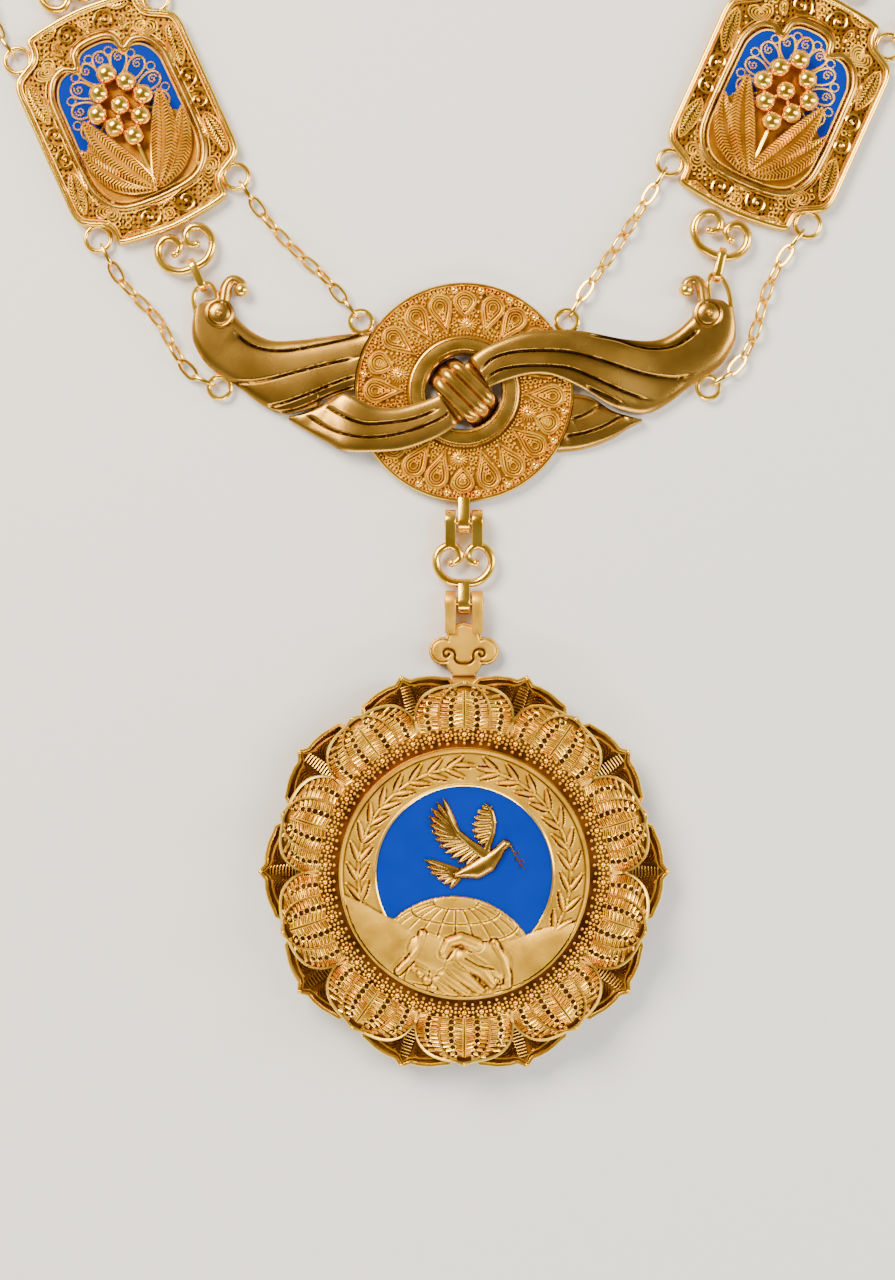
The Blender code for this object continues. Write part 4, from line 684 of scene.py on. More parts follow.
# The struck face: where its rim starts, where the wreath may lie, and how deep the enamel's recess is
RIM_START, WREATH_INNER, WREATH_OUTER, RECESS_DEPTH = 23.85, 18.2, 23.4, 0.75
GLOBE_CENTRE = (-2.2, -21.6)
GLOBE_RADIUS = 17.3
GLOBE_POLE = Vector((0.03, 0.957, 0.29)).normalized()
LEFT_SLEEVE = [(-25, -3.4), (-19.6, -5.8), (-16.6, -7.6), (-14, -8.7), (-11.1, -10.2), (-9.1, -11.1),
               (-9.7, -13.7), (-11.1, -16), (-13.7, -19.1), (-16.5, -21.5), (-26, -14)]
RIGHT_SLEEVE = [(5, -12.9), (8.9, -12.3), (12.2, -11.9), (14.8, -10.9), (18.5, -10), (24.6, -9),
                (24, -18), (8.6, -26), (8.3, -21.5), (7.4, -17.2)]
LEFT_CUFF = [(-8.2, -11.6), (-8.8, -14.3), (-10.5, -16.6), (-12.9, -19)]
RIGHT_CUFF = [(5.9, -13.4), (7.5, -16.6), (8.5, -19.6), (8.5, -22.4)]
LEFT_HAND = [([(-7.6, -14.8), (-4.2, -16.2), (-0.6, -18.2)], [3.3, 3.7, 2.6], 1)]
FINGERS = [([(-0.4, -16.6), (3.4, -18.9), (5.4, -21.4)], [1.9, 1.35, 0.95], 1.15),
           ([(-2.4, -18.6), (1.2, -21.2), (3.2, -22.7)], [1.6, 1.2, 0.85], 1.05),
           ([(-4, -20), (-1.4, -22), (0.6, -23.2)], [1.4, 1.05, 0.75], 0.95),
           ([(-5.4, -21), (-3.2, -22.8), (-1.8, -23.6)], [1, 0.75, 0.5], 0.8)]
RIGHT_HAND = [([(6, -17.6), (4.4, -16.2), (1.8, -14.8)], [3.4, 2.7, 2], 1.05)]
THUMB = ([(2.4, -13.8), (-0.6, -12.6), (-2.9, -13.3), (-3.9, -15.4)], [1.25, 1.15, 0.98, 0.85], 1.3)
PEARLS = [((-9.9, -18.5), 0.55), ((-8.6, -19.6), 0.62), ((-7.3, -20.8), 0.85), ((-6.1, -22.3), 0.75)]
BUTTONS = [((6.3, -20.9), 0.5), ((7.6, -22.2), 0.55)]
# Laurel: stem, leaf pairs to a branch, a leaf's length and width, its place beside the stem and its splay
STEM_RADIUS, LEAF_PAIRS, LEAF_LONG, LEAF_WIDE, LEAF_ASIDE, LEAF_SPLAY = 20.9, 10, 4.2, 1.2, 1.25, 29


def wreath_leaves():
    """Middle, heading and splay side of each laurel leaf, for both branches, angles in degrees."""
    leaves = []
    for first, last, way in ((191, 97, -1), (-29, 74, 1)):
        for i in range(LEAF_PAIRS):
            angle = first + (last - first) * i / (LEAF_PAIRS - 1)
            for out in (1, -1):
                radius = STEM_RADIUS + out * LEAF_ASIDE
                turn = radians(angle + way * 2.2)
                heading = radians(angle + way * 90 - way * out * LEAF_SPLAY)
                leaves.append((radius * cos(turn), radius * sin(turn), heading, out * way))
    leaves.append((0.1, 21.3, 0, 1))
    leaves.append((4.6, 20.7, pi - 0.15, 1))
    return leaves


def laurel_height(x, y):
    """Leaves with one full and one hollow side, on a thin stem."""
    height = np.zeros_like(x)
    for leaf_x, leaf_y, heading, side in wreath_leaves():
        along = ((x - leaf_x) * cos(heading) + (y - leaf_y) * sin(heading)) / (LEAF_LONG / 2)
        across = (-(x - leaf_x) * sin(heading) + (y - leaf_y) * cos(heading)) * side / (LEAF_WIDE / 2)
        half = np.sqrt(within(1 - along ** 2)) * (1 - 0.25 * along)
        inside = (np.abs(along) < 1) & (np.abs(across) < half)
        shape = np.where(across > 0, 0.52 * (1 - 0.6 * (across / np.maximum(half, 0.01)) ** 2),
                         0.34 + 0.72 * across / np.maximum(half, 0.01))
        height = np.where(inside, np.where(np.abs(shape) > np.abs(height), shape, height), height)
    radius = np.hypot(x, y)
    angle = np.degrees(np.arctan2(y, x)) % 360
    branches = (angle < 76) | (angle > 328) | ((angle > 95) & (angle < 195))
    on_stem = (np.abs(radius - STEM_RADIUS) < 0.16) & branches
    return np.where(on_stem, np.maximum(height, 0.25), height)


def globe_height(x, y):
    """A low globe with its parallels and meridians engraved."""
    across, up = (x - GLOBE_CENTRE[0]) / GLOBE_RADIUS, (y - GLOBE_CENTRE[1]) / GLOBE_RADIUS
    out = within(1 - across ** 2 - up ** 2)
    front = np.sqrt(out)
    pole = np.clip(across * GLOBE_POLE.x + up * GLOBE_POLE.y + front * GLOBE_POLE.z, -1, 1)
    latitude = np.degrees(np.arcsin(pole))
    side = Vector((1, 0, 0)).cross(GLOBE_POLE).normalized()
    longitude = np.degrees(np.arctan2(across * side.x + up * side.y + front * side.z, across - pole * GLOBE_POLE.x))
    parallel = np.abs((latitude + 7.5) % 15 - 7.5) * radians(1) * GLOBE_RADIUS
    meridian = np.abs((longitude + 9) % 18 - 9) * radians(1) * GLOBE_RADIUS * np.cos(np.radians(latitude))
    line = within(1.3 - np.minimum(parallel, meridian + (latitude > 76) * 9) / 0.24)
    return np.where(out > 0, 0.15 + 0.5 * front - 0.24 * line, OUTSIDE)


def figures_height(x, y):
    """Globe, sleeves, clasped hands, bracelet and buttons."""
    height = globe_height(x, y)
    for outline, cuff in ((LEFT_SLEEVE, LEFT_CUFF), (RIGHT_SLEEVE, RIGHT_CUFF)):
        depth = depth_in_outline(x, y, outline)
        sleeve = 0.25 + 0.75 * (1 - np.exp(-np.clip(depth, 0, None) / 2.2))
        height = np.where(depth > 0, np.maximum(height, sleeve), height)
        height -= 0.3 * groove(x, y, cuff, 1.15)
        share = limb(x, y, cuff, [0.7] * 4)
        height = np.maximum(height, np.where(share > 0, 0.55 + 0.5 * share, OUTSIDE))
    for points, radii, peak in LEFT_HAND + RIGHT_HAND + FINGERS + [THUMB]:
        share = limb(x, y, points, radii)
        height = height - 0.22 * groove(x, y, points, max(radii) + 0.35) * (share <= 0) * (height > MARKED)
        height = np.where(share > 0, np.maximum(height, 0.2 + (peak - 0.2) * share), height)
    height -= 0.3 * groove(x, y, [(0.2, -16.4), (2.6, -17.8), (5.6, -18.6)], 0.28)
    height -= 0.25 * groove(x, y, [(-3.4, -16.6), (-1.6, -14.2), (1.4, -15.2)], 0.25)
    for (px, py), radius in PEARLS + BUTTONS:
        share = limb(x, y, [(px - 0.01, py), (px + 0.01, py)], [radius, radius])
        height = np.where(share > 0, np.maximum(height, 0.55 + 0.75 * share * radius), height)
    return height


def medallion_height(x, y):
    """The struck face, in metres: raised rim, frosted field, laurel, recess for the enamel, and the figures."""
    radius = np.hypot(x, y)
    lip = within(1 - np.abs(radius - ENAMEL_RADIUS / MM - 0.2) / 0.22) * 0.14
    rim = within((radius - RIM_START) / 0.25) * 0.45
    field = laurel_height(x, y) * ((radius > WREATH_INNER) & (radius < WREATH_OUTER)) + lip + rim
    recess = within((ENAMEL_RADIUS / MM - radius) / 0.12)
    ground = field * (1 - recess) - RECESS_DEPTH * recess
    figures = figures_height(x, y)
    below = (figures > MARKED) & (radius < RIM_START + 0.05)
    return FIELD + np.where(below, np.maximum(figures, ground), ground) * MM


def build_medallion():
    """The struck disc and the enamel in its recess."""
    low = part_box("medallion")[0].z
    disc = relief_disc(MEDALLION_RADIUS, 250, medallion_height, low)
    finished_piece("struck_medallion", [(disc, SANDBLASTED)], "badge", ["medallion"], 75)
    edge = turned([(ENAMEL_RADIUS - 0.1 * MM, FIELD - 0.5 * MM), (ENAMEL_RADIUS - 0.1 * MM, FIELD + 0.1 * MM),
                   (ENAMEL_RADIUS + 0.12 * MM, FIELD + 0.22 * MM), (ENAMEL_RADIUS + 0.3 * MM, FIELD + 0.1 * MM),
                   (ENAMEL_RADIUS + 0.3 * MM, FIELD - 0.5 * MM)], 120)
    keep_above(edge)
    finished_piece("polished_recess_edge", [(edge, POLISHED)], "badge", [])
    glaze = relief_disc(ENAMEL_RADIUS - 0.05 * MM, 60, lambda x, y: FIELD + (-0.30 + 0.1 * np.clip(
        np.hypot(x, y) - 16.2, 0, 1.2)) * MM, FIELD - 0.65 * MM)
    finished_piece("blue_enamel_field", [(glaze, ENAMEL)], "badge", ["enamel_field"])


def keep_above(edge):
    """Leave the polished edge only where the recess shows, above the sleeves."""
    cut = bmesh.ops.bisect_plane(edge, geom=edge.verts[:] + edge.edges[:] + edge.faces[:],
                                 plane_co=(0, -9.4 * MM, 0), plane_no=(-0.02, 1, 0), clear_inner=True)
    ends = [item for item in cut["geom_cut"] if isinstance(item, bmesh.types.BMEdge)]
    bmesh.ops.holes_fill(edge, edges=ends)


# Feathers of the dove as root, tip and half width, and its limbs as points and half widths, in mm
FAR_WING = [((5.3, 12.9), (3.3, 13.2), 0.5), ((5.5, 12), (2.6, 12.2), 0.62), ((5.6, 11), (2, 11), 0.66),
            ((5.6, 10), (1.6, 9.7), 0.66), ((5.5, 9), (1.6, 8.4), 0.66), ((5.3, 8), (2, 7.2), 0.62),
            ((5, 7), (2.8, 6.1), 0.56)]
FAR_EDGE = ([(4.3, 13.7), (5.4, 12.2), (5.8, 10.2), (5.5, 8), (4.6, 5.6), (4.4, 4.6)],
            [0.22, 0.42, 0.5, 0.55, 0.6, 0.7])
NEAR_WING = [((-1.7, 9.2), (-4.2, 15), 0.5), ((-1.7, 8.8), (-5.5, 14.2), 0.55), ((-1.7, 8.5), (-6.4, 12.9), 0.6),
             ((-1.6, 8.1), (-6.9, 11.4), 0.62), ((-1.4, 7.7), (-6.8, 9.8), 0.64), ((-1, 7.3), (-6.4, 8.3), 0.64),
             ((-0.5, 6.8), (-5.7, 6.8), 0.64), ((0.1, 6.3), (-4.8, 5.4), 0.64), ((0.7, 5.8), (-3.8, 4.2), 0.62),
             ((1.4, 5.2), (-2.6, 3.2), 0.62), ((2.2, 4.7), (-1.2, 2.3), 0.62), ((3, 4.2), (0.2, 1.7), 0.6)]
NEAR_ARM = ([(-3.3, 12.4), (-2.2, 9.8), (-1.3, 8.2), (0.8, 6.3), (2.8, 4.7), (4.4, 3.6)],
            [0.25, 0.42, 0.6, 0.75, 0.95, 1.2])
TAIL = [((-0.9, 0.6), (-7.9, 2.9), 0.55), ((-0.9, 0.4), (-7.4, 1.5), 0.6), ((-0.9, 0.2), (-6.5, 0.2), 0.62),
        ((-0.9, 0), (-5.4, -0.9), 0.62), ((-0.9, -0.1), (-4.2, -1.9), 0.6), ((-0.8, -0.3), (-2.9, -2.7), 0.55)]
TORSO = ([(-1.6, -0.1), (0.2, 0.4), (2.4, 0.9), (4.6, 2.2), (6.3, 3.9), (7.3, 5.2), (8.1, 5.9)],
         [0.55, 1.1, 1.75, 1.8, 1.25, 0.85, 0.88])
BEAK = ([(8.4, 5.9), (9.5, 5.4)], [0.45, 0.1])
DOVE_LOW = FIELD / MM - 0.32


def feather(x, y, root, tip, half_width):
    """Share of height of one feather: a ridge along its quill, barbs falling to pointed ends."""
    dx, dy = tip[0] - root[0], tip[1] - root[1]
    size = hypot(dx, dy)
    share = ((x - root[0]) * dx + (y - root[1]) * dy) / size ** 2
    away = np.abs((x - root[0]) * dy - (y - root[1]) * dx) / size
    width = half_width * within(1.06 - within(share) ** 5)
    inside = (share > -0.02) & (share < 1) & (away < width)
    return np.where(inside, 0.1 + 0.9 * (1 - (away / np.maximum(width, 0.01)) ** 2), 0)


def dove_height(x, y):
    """Height of the dove's relief in mm above the enamel; 0 outside the bird."""
    rise = np.zeros_like(x)
    for feathers, low, high in ((FAR_WING, 0.25, 0.4), (TAIL, 0.25, 0.4), (NEAR_WING, 0.3, 0.45)):
        for i, (root, tip, half_width) in enumerate(feathers):
            share = feather(x, y, root, tip, half_width)
            rise = np.where(share > 0, np.maximum(rise, low + high * share), rise)
    for (points, radii), low, high in ((FAR_EDGE, 0.4, 0.35), (NEAR_ARM, 0.45, 0.5), (TORSO, 0.3, 0.95),
                                       (BEAK, 0.3, 0.3)):
        share = limb(x, y, points, radii)
        rise = np.where(share > 0, np.maximum(rise, low + high * share), rise)
    return rise


def build_dove():
    """Dove in relief on the enamel, with a fine sprig at its beak."""
    bird = relief_plate((-8.4, -3.4), (9.9, 15.4), 0.13, lambda x, y: dove_height(x, y) - 0.2,
                        lambda x, y: (DOVE_LOW + np.maximum(dove_height(x, y), 0.3)) * MM, DOVE_LOW * MM)
    sprig = [[(9.2, 5.2), (10, 3.6), (10.9, 2.2), (11.9, 1)]]
    for root, way in (((9.7, 4.2), 1), ((10.2, 3.3), -1), ((10.6, 2.7), 1), ((11.1, 2), -1)):
        sprig.append([root, (root[0] + 0.35 + 0.45 * way, root[1] - 0.1 + 0.35 * way),
                      (root[0] + 0.5 + 0.75 * way, root[1] - 0.55 + 0.2 * way), root])
    strokes = [[Vector((x, y, DOVE_LOW + 0.08)) * MM for x, y in stroke] for stroke in sprig]
    layers = [(bird, SATIN), (wires(strokes, 0.28, 6), SATIN)]
    finished_piece("dove_in_relief", layers, "badge", ["dove"], 25)


# ---------------- knot, in mm from its centre

KNOT_RADIUS, RING_INNER = 22, 7.6
# Teardrops of the disc: degrees clockwise from its top, and those that a rosette cuts short
DROP_TURNS = (0.5, 18.9, 35.2, 54, 73, 92.5, 109.8, 127, 146.2, 163.9, 180.9, 198, 214.5, 232, 252,
              271, 289, 307.5, 327.5, 344.4)
CUT_TURNS = (0.5, 109.8, 180.9, 289)
DROP_END, DROP_WIDTH = 20.25, 4.7
# Turn, length and, as a power, how late it swells
DROPS = [(turn, 5.3, 1.5) if turn in CUT_TURNS else (turn, 8.3, 2.1) for turn in DROP_TURNS]
ROSETTE_TURNS, ROSETTE_REACH = (3.4, 107.8, 184.2, 285.1), 13.5
GRAIN_TURNS = (-5.4, 9.5, 26.5, 44, 100.9, 118.4, 136, 154.8, 172.4, 189.4, 206.2, 279.9)


def on_knot(points):
    """Points given in mm from the knot's centre, as places in the jewel."""
    return [KNOT + Vector(point) * MM for point in points]


def clockwise(turn, radius, height):
    """A point of the knot by its turn from the top, clockwise."""
    angle = radians(90 - turn)
    return (radius * cos(angle), radius * sin(angle), height)


def drop_half(share, belly):
    """Half width of a teardrop, a share of the way along it."""
    return DROP_WIDTH / 2 * max(0, sin(pi * share ** belly)) ** 0.6


def drop_point(drop, share, way, scale, height):
    """A point of a teardrop: share along it from the tip, way -1 or 1 for its side, drawn in by scale."""
    turn, length, belly = drop
    half = way * drop_half(share, belly)
    middle = DROP_END - DROP_WIDTH / 2
    radius = middle + (DROP_END - length + length * share - middle) * scale
    angle = radians(90 - turn)
    return (radius * cos(angle) - half * scale * sin(angle), radius * sin(angle) + half * scale * cos(angle), height)


def drop_loop(drop, scale, height):
    """One closed loop of wire of a teardrop."""
    shares = [sin(pi / 2 * i / 12) ** 1.2 for i in range(13)]
    there = [drop_point(drop, share, 1, scale, height) for share in shares]
    return there + [drop_point(drop, share, -1, scale, height) for share in reversed(shares[1:-1])]


def filler_rings():
    """Places between the teardrops and rosettes for the small rings and grains that fill the ground."""
    places = []
    for row in range(9):
        radius = 12.5 + 0.98 * row
        count = round(TURN * radius / 0.98)
        for i in range(count):
            turn = 360 * (i + 0.5 * (row % 2)) / count
            x, y, _ = clockwise(turn, radius, 0)
            if all(apart(x, y, drop) for drop in DROPS) and all(hypot(x - ax, y - ay) > 1.9 for ax, ay, _ in
                    (clockwise(other, ROSETTE_REACH, 0) for other in ROSETTE_TURNS)):
                places.append((x, y))
    return places


def apart(x, y, drop):
    """Whether a point lies clear of a teardrop."""
    turn, length, belly = drop
    angle = radians(90 - turn)
    radius = x * cos(angle) + y * sin(angle)
    side = abs(y * cos(angle) - x * sin(angle))
    share = (radius - DROP_END + length) / length
    if share < -0.03 or share > 1.05 or radius < 0:
        return True
    return side > drop_half(min(1, max(0, share)), belly) + 0.35


def beads_round(count, radius, height, shift=0):
    """Places of a beaded line round the knot."""
    return on_knot(clockwise(360 * (i + shift) / count, radius, height) for i in range(count))


def build_knot_disc():
    """Round filigree plate with its tongue down to the connector."""
    plate = turned([(RING_INNER, 0), (KNOT_RADIUS, 0), (KNOT_RADIUS, 1.7), (RING_INNER, 1.7)], 96, KNOT, MM)
    edge = turned([(21.1, 1.6), (21.15, 2.15), (21.4, 2.4), (21.8, 2.4), (22, 2.15), (22, 0), (21.1, 0)], 96, KNOT, MM)
    rims = [on_knot(drop_loop(drop, 0.97, 2.25)) for drop in DROPS]
    loops = [on_knot(drop_loop(drop, scale, height)) for drop in DROPS
             for scale, height in ((0.76, 2.2), (0.53, 2.12), (0.3, 2.05))]
    bars = [on_knot(drop_point(drop, share, way, 1, 2.1) for way in (-0.28, 0.28)) for drop in DROPS
            for share in (0.3, 0.38, 0.46, 0.54, 0.62)]
    eyes, rays, rings, grains = [], [], [], []
    for turn in ROSETTE_TURNS:
        x, y, height = clockwise(turn, ROSETTE_REACH, 2.5)
        eyes += on_knot([(x, y, height)])
        rays += [on_knot([(*near, 2.25), (*far, 2.1)])
                 for near, far in zip(circle(x, y, 0.8, 18), circle(x, y, 1.7, 18))]
    for i, (x, y) in enumerate(filler_rings()):
        if i % 2:
            rings.append(on_knot((*place, 2) for place in circle(x, y, 0.4)))
        else:
            grains += on_knot([(x, y, 1.95)])
    rays += [on_knot(clockwise(turn, radius, 2) for radius in (20.45, 20.75)) for turn in range(0, 360, 4)]
    balls = on_knot(clockwise(turn, 20.45, 2.5) for turn in GRAIN_TURNS)
    beads = beads_round(170, 20.9, 2.15) + beads_round(104, 11.75, 2.1)
    layers = [(plate, SHEET), (edge, POLISHED), (wires(rims, 0.44, closed=True), WIRE),
              (wires(loops, 0.33, 5, closed=True), WIRE), (wires(bars, 0.34, 4), WIRE),
              (wires(rays, 0.24, 4), WIRE), (wires(rings, 0.3, 4, closed=True), WIRE),
              (granules(beads, 0.24), WIRE), (granules(grains, 0.36), WIRE),
              (granules(eyes, 0.85, 3), POLISHED), (granules(balls, 0.8, 3), POLISHED)]
    layers.append(tongue(UPPER_HINGE, KNOT.y / MM - KNOT_RADIUS + 0.8))
    finished_piece("filigree_disc", layers, "collar", ["knot_disc"])


def build_knot_ring():
    """Flat satin ring with a fine line along both edges."""
    ring = turned([(RING_INNER, 2.3), (RING_INNER, 2.85), (7.8, 3.1), (8.1, 3.15), (8.3, 2.95), (8.5, 3.1),
                   (9.6, 3.18), (10.4, 3.1), (10.6, 2.95), (10.75, 3.1), (11, 3), (11.1, 2.75), (11.1, 2.3)],
                  90, KNOT, MM)
    finished_piece("satin_ring", [(ring, SATIN)], "collar", ["knot_ring"], 20)


STRAP_REACH, STRAP_HALF_WIDTH, STRAP_LOW = 7.3, 3.8, 3.5


def build_strap():
    """Three ridges of satin gold across the knot, from upper left to lower right."""
    across = Vector((1, 1, 0)).normalized()
    along = Vector((1, -1, 0)).normalized()

    def place(u, v, height):
        width = (2 * u - 1) * STRAP_HALF_WIDTH
        length = sqrt(max(0, STRAP_REACH ** 2 - width ** 2)) * (2 * v - 1)
        point = across * width + along * length
        return on_knot([(point.x, point.y, height)])[0]

    def hump(v):
        return STRAP_LOW * max(0, 1 - (2 * v - 1) ** 6)

    def top(u, v):
        ridge = abs(sin(pi * 3 * u)) ** 0.55
        return place(u, v, hump(v) + 0.45 + 0.85 * ridge)

    sheet = skin(42, 24, top, lambda u, v: place(u, v, hump(v)))
    finished_piece("ridged_strap", [(sheet, SATIN)], "collar", ["knot_strap"], 50)


# ---------------- wings

# Sections: upper and lower edge from the knot's centre, as shares of WING_REACH; they are the CAD part's own
ROOT = KNOT_RADIUS * MM / WING_REACH
BAND_SECTIONS = [((-0.049, 0.049), (0.049, -0.049)), ((0.004, 0.102), (0.101, 0.003)),
                 ((0.036, 0.130), (0.095, 0.014)), ((0.099, 0.170), (0.159, 0.040)),
                 ((0.211, 0.212), (0.248, 0.062)), ((0.308, 0.223), (0.331, 0.055)), ((0.436, 0.219), (0.436, 0.010))]
WING_SECTIONS = [((0.585, 0.193), (0.546, -0.053)), ((0.697, 0.189), (0.659, -0.080)),
                 ((0.772, 0.219), (0.745, -0.045)), ((0.832, 0.272), (0.830, 0.020)),
                 ((0.862, 0.318), (0.935, 0.092)), ((0.880, 0.340), (0.988, 0.170)),
                 ((0.905, 0.345), (1.000, 0.235)), ((0.945, 0.338), (0.989, 0.300))]
BAND_TAIL = [((0.508, 0.183), (0.502, 0.037)), ((0.583, 0.141), (0.579, 0.072)), ((0.645, 0.103), (0.641, 0.088))]
LEFT_WING_ROOT = [((0.82 * ROOT, 0.556 * ROOT), (0.93 * ROOT, 0.042 * ROOT)), ((0.516, 0.203), (0.516, -0.028))]
LOWER_WING_SECTIONS = [((0.92 * ROOT, -0.015 * ROOT), (0.82 * ROOT, -0.55 * ROOT)),
                       ((0.458, -0.014), (0.436, -0.210)), ((0.545, -0.066), (0.533, -0.177)),
                       ((0.616, -0.089), (0.607, -0.132)), ((0.655, -0.099), (0.653, -0.110))]
BOSS_CENTRE = (0.895, 0.286)
HOOK_PATH = [(0.882, 0.318), (0.872, 0.385), (0.848, 0.412), (0.818, 0.400), (0.816, 0.374)]
WING_TOP_RING = 0.378
WING_SIDE_RING = (0.898, 0.018)
HANG_LOOP_FEET = ((0.903, 0.328), (0.984, 0.288))
# Engraved feather lines, in mm from the knot's centre; the metal on a line's right-hand side lies lower
RIGHT_LINES = [
    [(3, 3.8), (5.4, 6.3), (9.5, 7.7), (15.6, 8.1), (21.7, 7.7), (27.9, 6.1), (36, 3.6), (42.1, 2.8), (45.8, 3.4)],
    [(4, 2.2), (7, 4.2), (11.5, 5), (17.6, 5), (21.7, 4.4), (26.2, 2.6), (31.9, 0.1), (38.1, -2.1)],
    [(47, 12.4), (45, 10.7), (42.1, 9.1), (38.1, 8.5), (34, 9.1), (30.3, 10.3), (24.5, 11.2)],
    [(24.6, 0.9), (28, -0.6), (31.5, -2.3)],
]
LOWER_LINES = [
    [(21.3, -5.4), (23.8, -4.6), (26.2, -3.3), (28.3, -2.1), (30, -1.6)],
    [(20.1, -8.8), (23.8, -8.2), (27.9, -6.8), (30.7, -5.2), (32.1, -4.2)],
]
LEFT_LINES = [
    [(-46.1, 12.2), (-43.2, 9.7), (-39.7, 8.5), (-35.4, 8.3), (-30, 9.2), (-24.7, 10.4), (-19.3, 11.9)],
    [(-47.2, 2), (-42.5, 2), (-38.9, 2.6), (-33.6, 4), (-28.2, 5.4), (-21.1, 7)],
    [(-39.3, -3.1), (-34.7, -1.7), (-30, 0.1), (-25.4, 2), (-21.6, 3.3)],
    [(-36.8, -4), (-33.6, -3.5), (-29.7, -1.9), (-25.7, -0.1), (-21.6, 1.2)],
]
LEFT_BAND_LINES = [
    [(-27.7, -2.8), (-24.7, -4.6), (-21.1, -6.2), (-17.5, -6.5), (-10.4, -5.6), (-5, -3.5)],
    [(-31.6, -4.4), (-28.2, -6.7), (-24.7, -8.3), (-19.3, -9.2), (-12.2, -8.3), (-5, -5.6), (-2.6, -3.8)],
]
LINE_DEPTH, LINE_HALF_WIDTH, STEP_DROP, STEP_FADE = 0.34, 0.42, 0.3, 1.6
# Painted shade along the engraved lines and on the low side of each feather step: how dark a line is at its full
# depth, and the darkest that the metal gets
LINE_SHADE, DARKEST = 1.5, 0.85


def through(rows, v):
    """A row of numbers read from a smooth curve through rows."""
    reach = v * (len(rows) - 1)
    step = min(int(reach), len(rows) - 2)
    t = reach - step
    before, after = rows[max(step - 1, 0)], rows[min(step + 2, len(rows) - 1)]
    return [between(*four, t) for four in zip(before, rows[step], rows[step + 1], after)]


def engraved(x, y, lines):
    """How much lower the metal lies round its engraved lines, in mm."""
    cut = np.zeros_like(x)
    for line in lines:
        route = smooth_route([Vector((px, py, 0)) for px, py in line], 4)
        near, side, share = np.full_like(x, 1e3), np.zeros_like(x), np.zeros_like(x)
        for i, (a, b) in enumerate(zip(route, route[1:])):
            t, off_x, off_y = off_line(x, y, a, b)
            distance = np.hypot(off_x, off_y)
            closer = distance < near
            near = np.where(closer, distance, near)
            side = np.where(closer, (b.x - a.x) * off_y - (b.y - a.y) * off_x, side)
            share = np.where(closer, (i + t) / (len(route) - 1), share)
        ends = within(np.minimum(share, 1 - share) * 14)
        groove_cut = LINE_DEPTH * within(1 - (near / LINE_HALF_WIDTH) ** 2) ** 2
        step_cut = STEP_DROP * np.exp(-near / STEP_FADE) * within(0.5 - np.sign(side) * near / 0.3)
        cut = np.maximum(cut, ends * (groove_cut + step_cut))
    return cut


def wing_sheet(sections, levels, lines, mirror=1, clear=0, columns=130, length=230):
    """A feathered band through sections; levels(v) gives its underside, edge and crest in mm."""
    flat = [(*upper, *lower) for upper, lower in sections]
    starts = {}

    def place(u, v, over):
        w = 0.5 * (1 - cos(pi * u))
        key = round(u * columns)
        if key not in starts:
            starts[key] = first_clear(flat, w, clear)
        v = starts[key] + (1 - starts[key]) * v
        x0, y0, x1, y1 = through(flat, v)
        under, edge, crest = levels(v)
        swell = abs(2 * w - 1)
        level = edge + (crest - edge) * (0.78 * (1 - swell ** 8) + 0.22 * (1 - swell ** 2)) if over else under
        return KNOT + Vector((mirror * (x0 + (x1 - x0) * w) * WING_REACH, (y0 + (y1 - y0) * w) * WING_REACH,
                              level * MM))

    sheet = skin(columns, length, lambda u, v: place(u, v, True), lambda u, v: place(u, v, False))
    hollow = sheet.verts.layers.float.new("hollow")
    below = sheet.verts.layers.int["below"]
    spots = places_of(sheet)
    cuts = engraved(spots[:, 0], spots[:, 1] - KNOT.y / MM, lines)
    # Painted shade: the engraved lines and the low side of each feather step are darkened
    for vert, cut in zip(sheet.verts, cuts):
        if not vert[below]:
            vert.co.z -= cut * MM
            vert[hollow] = min(DARKEST, LINE_SHADE * cut * cut / LINE_DEPTH ** 2)
    return sheet


def first_clear(flat, w, clear):
    """How far along a wing a column starts, so that its root follows the disc's rim."""
    low, high = 0, 0.4
    if clear <= 0:
        return 0
    for _ in range(18):
        middle = (low + high) / 2
        x0, y0, x1, y1 = through(flat, middle)
        if hypot(x0 + (x1 - x0) * w, y0 + (y1 - y0) * w) * WING_REACH / MM < clear:
            low = middle
        else:
            high = middle
    return high


def ease(value):
    """A share from 0 to 1 with a soft start and end."""
    share = max(0, min(1, value))
    return share * share * (3 - 2 * share)


def band_levels(row):
    """Underside, edge and crest of the band in mm; row counts sections from the knot's middle, tail minus."""
    rise, fall = ease(abs(row) - 1), ease((abs(row) - 5.3) / 3.3)
    low = 2 + 1.5 * rise
    edge, crest = (1.9, 3) if row > 0 else (1.2, 1.9)
    return (low * (1 - fall), (low + 0.65) * (1 - fall) + edge * fall, (low + 1.25) * (1 - fall) + crest * fall)


def wing_point(shares, side, height):
    """A point of a wing, by its shares of WING_REACH from the knot's centre."""
    return KNOT + Vector((side * shares[0] * WING_REACH, shares[1] * WING_REACH, height * MM))


def top_ring(side):
    """Centre of the chain ring that stands on a wing's upper edge."""
    rows = BAND_SECTIONS if side > 0 else LEFT_WING_ROOT
    edge = [row[0] for row in rows]
    for (x0, y0), (x1, y1) in zip(edge, edge[1:]):
        if x0 <= WING_TOP_RING <= x1:
            y = y0 + (y1 - y0) * (WING_TOP_RING - x0) / (x1 - x0)
    return wing_point((WING_TOP_RING, y), side, CHAIN_HEIGHT / MM) + Vector((0, 2.25 * MM, 0))


def round_ring(centre, radius, wire, steps=40):
    """A round wire ring lying flat; sizes in mm."""
    loop = [centre + Vector((*place, 0)) * MM for place in circle(0, 0, radius, steps)]
    return wires([loop], wire, 10, closed=True)


